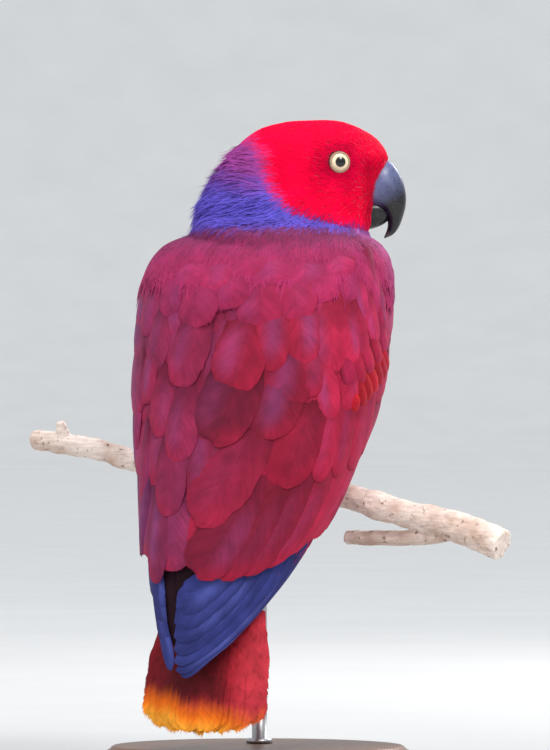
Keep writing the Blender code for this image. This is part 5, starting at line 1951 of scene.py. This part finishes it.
def paper_material():
    """Pale paper, darkened near the stand by painted shade and lighter away from it."""
    made, tree, shader = start_material("pale_paper")
    place = object_place(tree)
    far = node(tree, "ShaderNodeVectorMath", {0: place}, operation="LENGTH").outputs["Value"]
    # Painted shade pooled round the stand, fading out by 2.6 m
    paper = blended(tree, PAPER_SHADED_NEAR, PAPER_FAR, ranged(tree, far, 0.2, 2.6, 0.0, 1.0))
    colour = scaled(tree, paper, swayed(tree, noise_of(tree, place, 8.0, 3.0), 0.98, 1.02))
    tree.links.new(colour, shader.inputs["Base Color"])
    shader.inputs["Roughness"].default_value = 0.9
    return made


def level_way(degrees):
    """The level direction that a camera at an azimuth looks, and the one to its right."""
    turn = math.radians(degrees)
    return np.array([-math.sin(turn), math.cos(turn)]), np.array([math.cos(turn), math.sin(turn)])


def build_backdrop():
    """Plain pale floor that curves up to a backdrop all round."""
    bend = np.linspace(0, 1, 40) * math.pi / 2
    flat = np.linspace(0.02, FLOOR_RADIUS - 0.1, 60)
    curve = FLOOR_RADIUS + FLOOR_CURVE * np.sin(bend)
    reach = np.concatenate([flat, curve, [curve[-1] + 0.1]])
    rise = np.concatenate([0 * flat, FLOOR_CURVE * (1 - np.cos(bend)), [FLOOR_CURVE + 2]])
    points = turned(np.stack([reach, rise], -1), 96)[..., [1, 0, 2]].reshape(-1, 3)
    faces = grid_faces(len(reach), 96, True).tolist() + [tuple(range(96))[::-1]]
    mesh = bpy.data.meshes.new("backdrop")
    mesh.from_pydata(points.tolist(), [], faces)
    mesh.shade_smooth()
    mesh.materials.append(paper_material())
    floor = bpy.data.objects.new("backdrop", mesh)
    bpy.context.scene.collection.objects.link(floor)


def build_lights():
    """A pale sky and four soft lamps."""
    world = bpy.data.worlds.new("studio")
    world.use_nodes = True
    world.node_tree.nodes["Background"].inputs["Color"].default_value = SKY
    world.node_tree.nodes["Background"].inputs["Strength"].default_value = SKY_STRENGTH
    bpy.context.scene.world = world
    ahead, to_right = level_way(PHOTO_AZIMUTH)
    for name, deep, sideways, up, size, power, colour in LAMPS:
        lamp(name, ahead * deep + to_right * sideways, up, size, power, colour)


def build_camera():
    """The photograph's camera."""
    scene = bpy.context.scene
    camera = bpy.data.cameras.new("camera")
    camera.sensor_width = SENSOR
    camera.lens = SENSOR * CAMERA_AWAY / (PHOTO_SIZE[1] * PHOTO_SCALE * MM)
    camera.clip_end = 60.0
    seen = bpy.data.objects.new("camera", camera)
    scene.collection.objects.link(seen)
    ahead, to_right = level_way(PHOTO_AZIMUTH)
    centre_x = (PHOTO_SIZE[0] / 2 - PHOTO_X) * PHOTO_SCALE * MM
    centre_up = ((PHOTO_Y - PHOTO_SIZE[1] / 2) * PHOTO_SCALE + LIFT) * MM
    seen.location = (*(to_right * centre_x - ahead * CAMERA_AWAY), centre_up)
    seen.rotation_euler = Vector((*ahead, 0)).to_track_quat("-Z", "Y").to_euler()
    scene.camera = seen
    scene.view_settings.view_transform = "Standard"
    scene.view_settings.look = "None"


def lamp(name, level, up, size, power, colour):
    """A round soft light that looks at the bird."""
    data = bpy.data.lights.new(name, "AREA")
    data.shape = "DISK"
    data.size = size
    data.energy = power
    data.color = colour
    obj = bpy.data.objects.new(name, data)
    bpy.context.scene.collection.objects.link(obj)
    obj.location = (*level, up)
    aim = Vector((0, 0, LAMP_AIM)) - obj.location
    obj.rotation_euler = aim.to_track_quat("-Z", "Y").to_euler()


DOWNY = plumage_material("downy_feather", 9.0, 0.35, 0.0, (0.06, 1.0, 0.2, 0.5), 0.3, 0.03)
VANED = plumage_material("vaned_feather", 60.0, 0.22, 0.2, (0.1, 0.7, 0.5, 1.0), 0.35, 0.1)
STREAKY = plumage_material("tail_vane", 60.0, 0.2, 0.05, (0.1, 1.0, 0.6, 0.5), 0.4, 0.1)
HORN = horn_material()
EYE = eye_material()
LID = bare_skin_material("lid_skin", linear(150, 112, 96), linear(196, 168, 138), 3600.0)
SCALES = bare_skin_material("foot_scales", linear(44, 40, 42), linear(112, 106, 106), 1100.0)
CLAW = bare_skin_material("claw_horn", linear(14, 13, 14), linear(38, 36, 38), 500.0, 0.34)
BARK = bark_material()
WOOD = wood_material()
STEEL = steel_material()

COAT_FINISH = {
    "coat_head_right": (DOWNY, "crimson_feather"),
    "coat_head_left": (DOWNY, "crimson_feather"),
    "coat_mantle_soft": (VANED, "maroon_feather"),
}
VIOLET_FINISH = (DOWNY, "violet_feather")

skin = build_skin()
skin_piece(skin)
surface = Skin(skin)
for name, batch in build_coat(surface, skin).items():
    coat_piece(name, batch, *COAT_FINISH.get(name, VIOLET_FINISH))
for name, batch in build_wings().items():
    coat_piece(name, batch, VANED, "maroon_feather")
coat_piece("coat_tail", build_tail(), STREAKY, "tail_feather")
build_bill()
build_eyes()
build_perch()
build_feet()
build_stand()
build_backdrop()
build_lights()
build_camera()
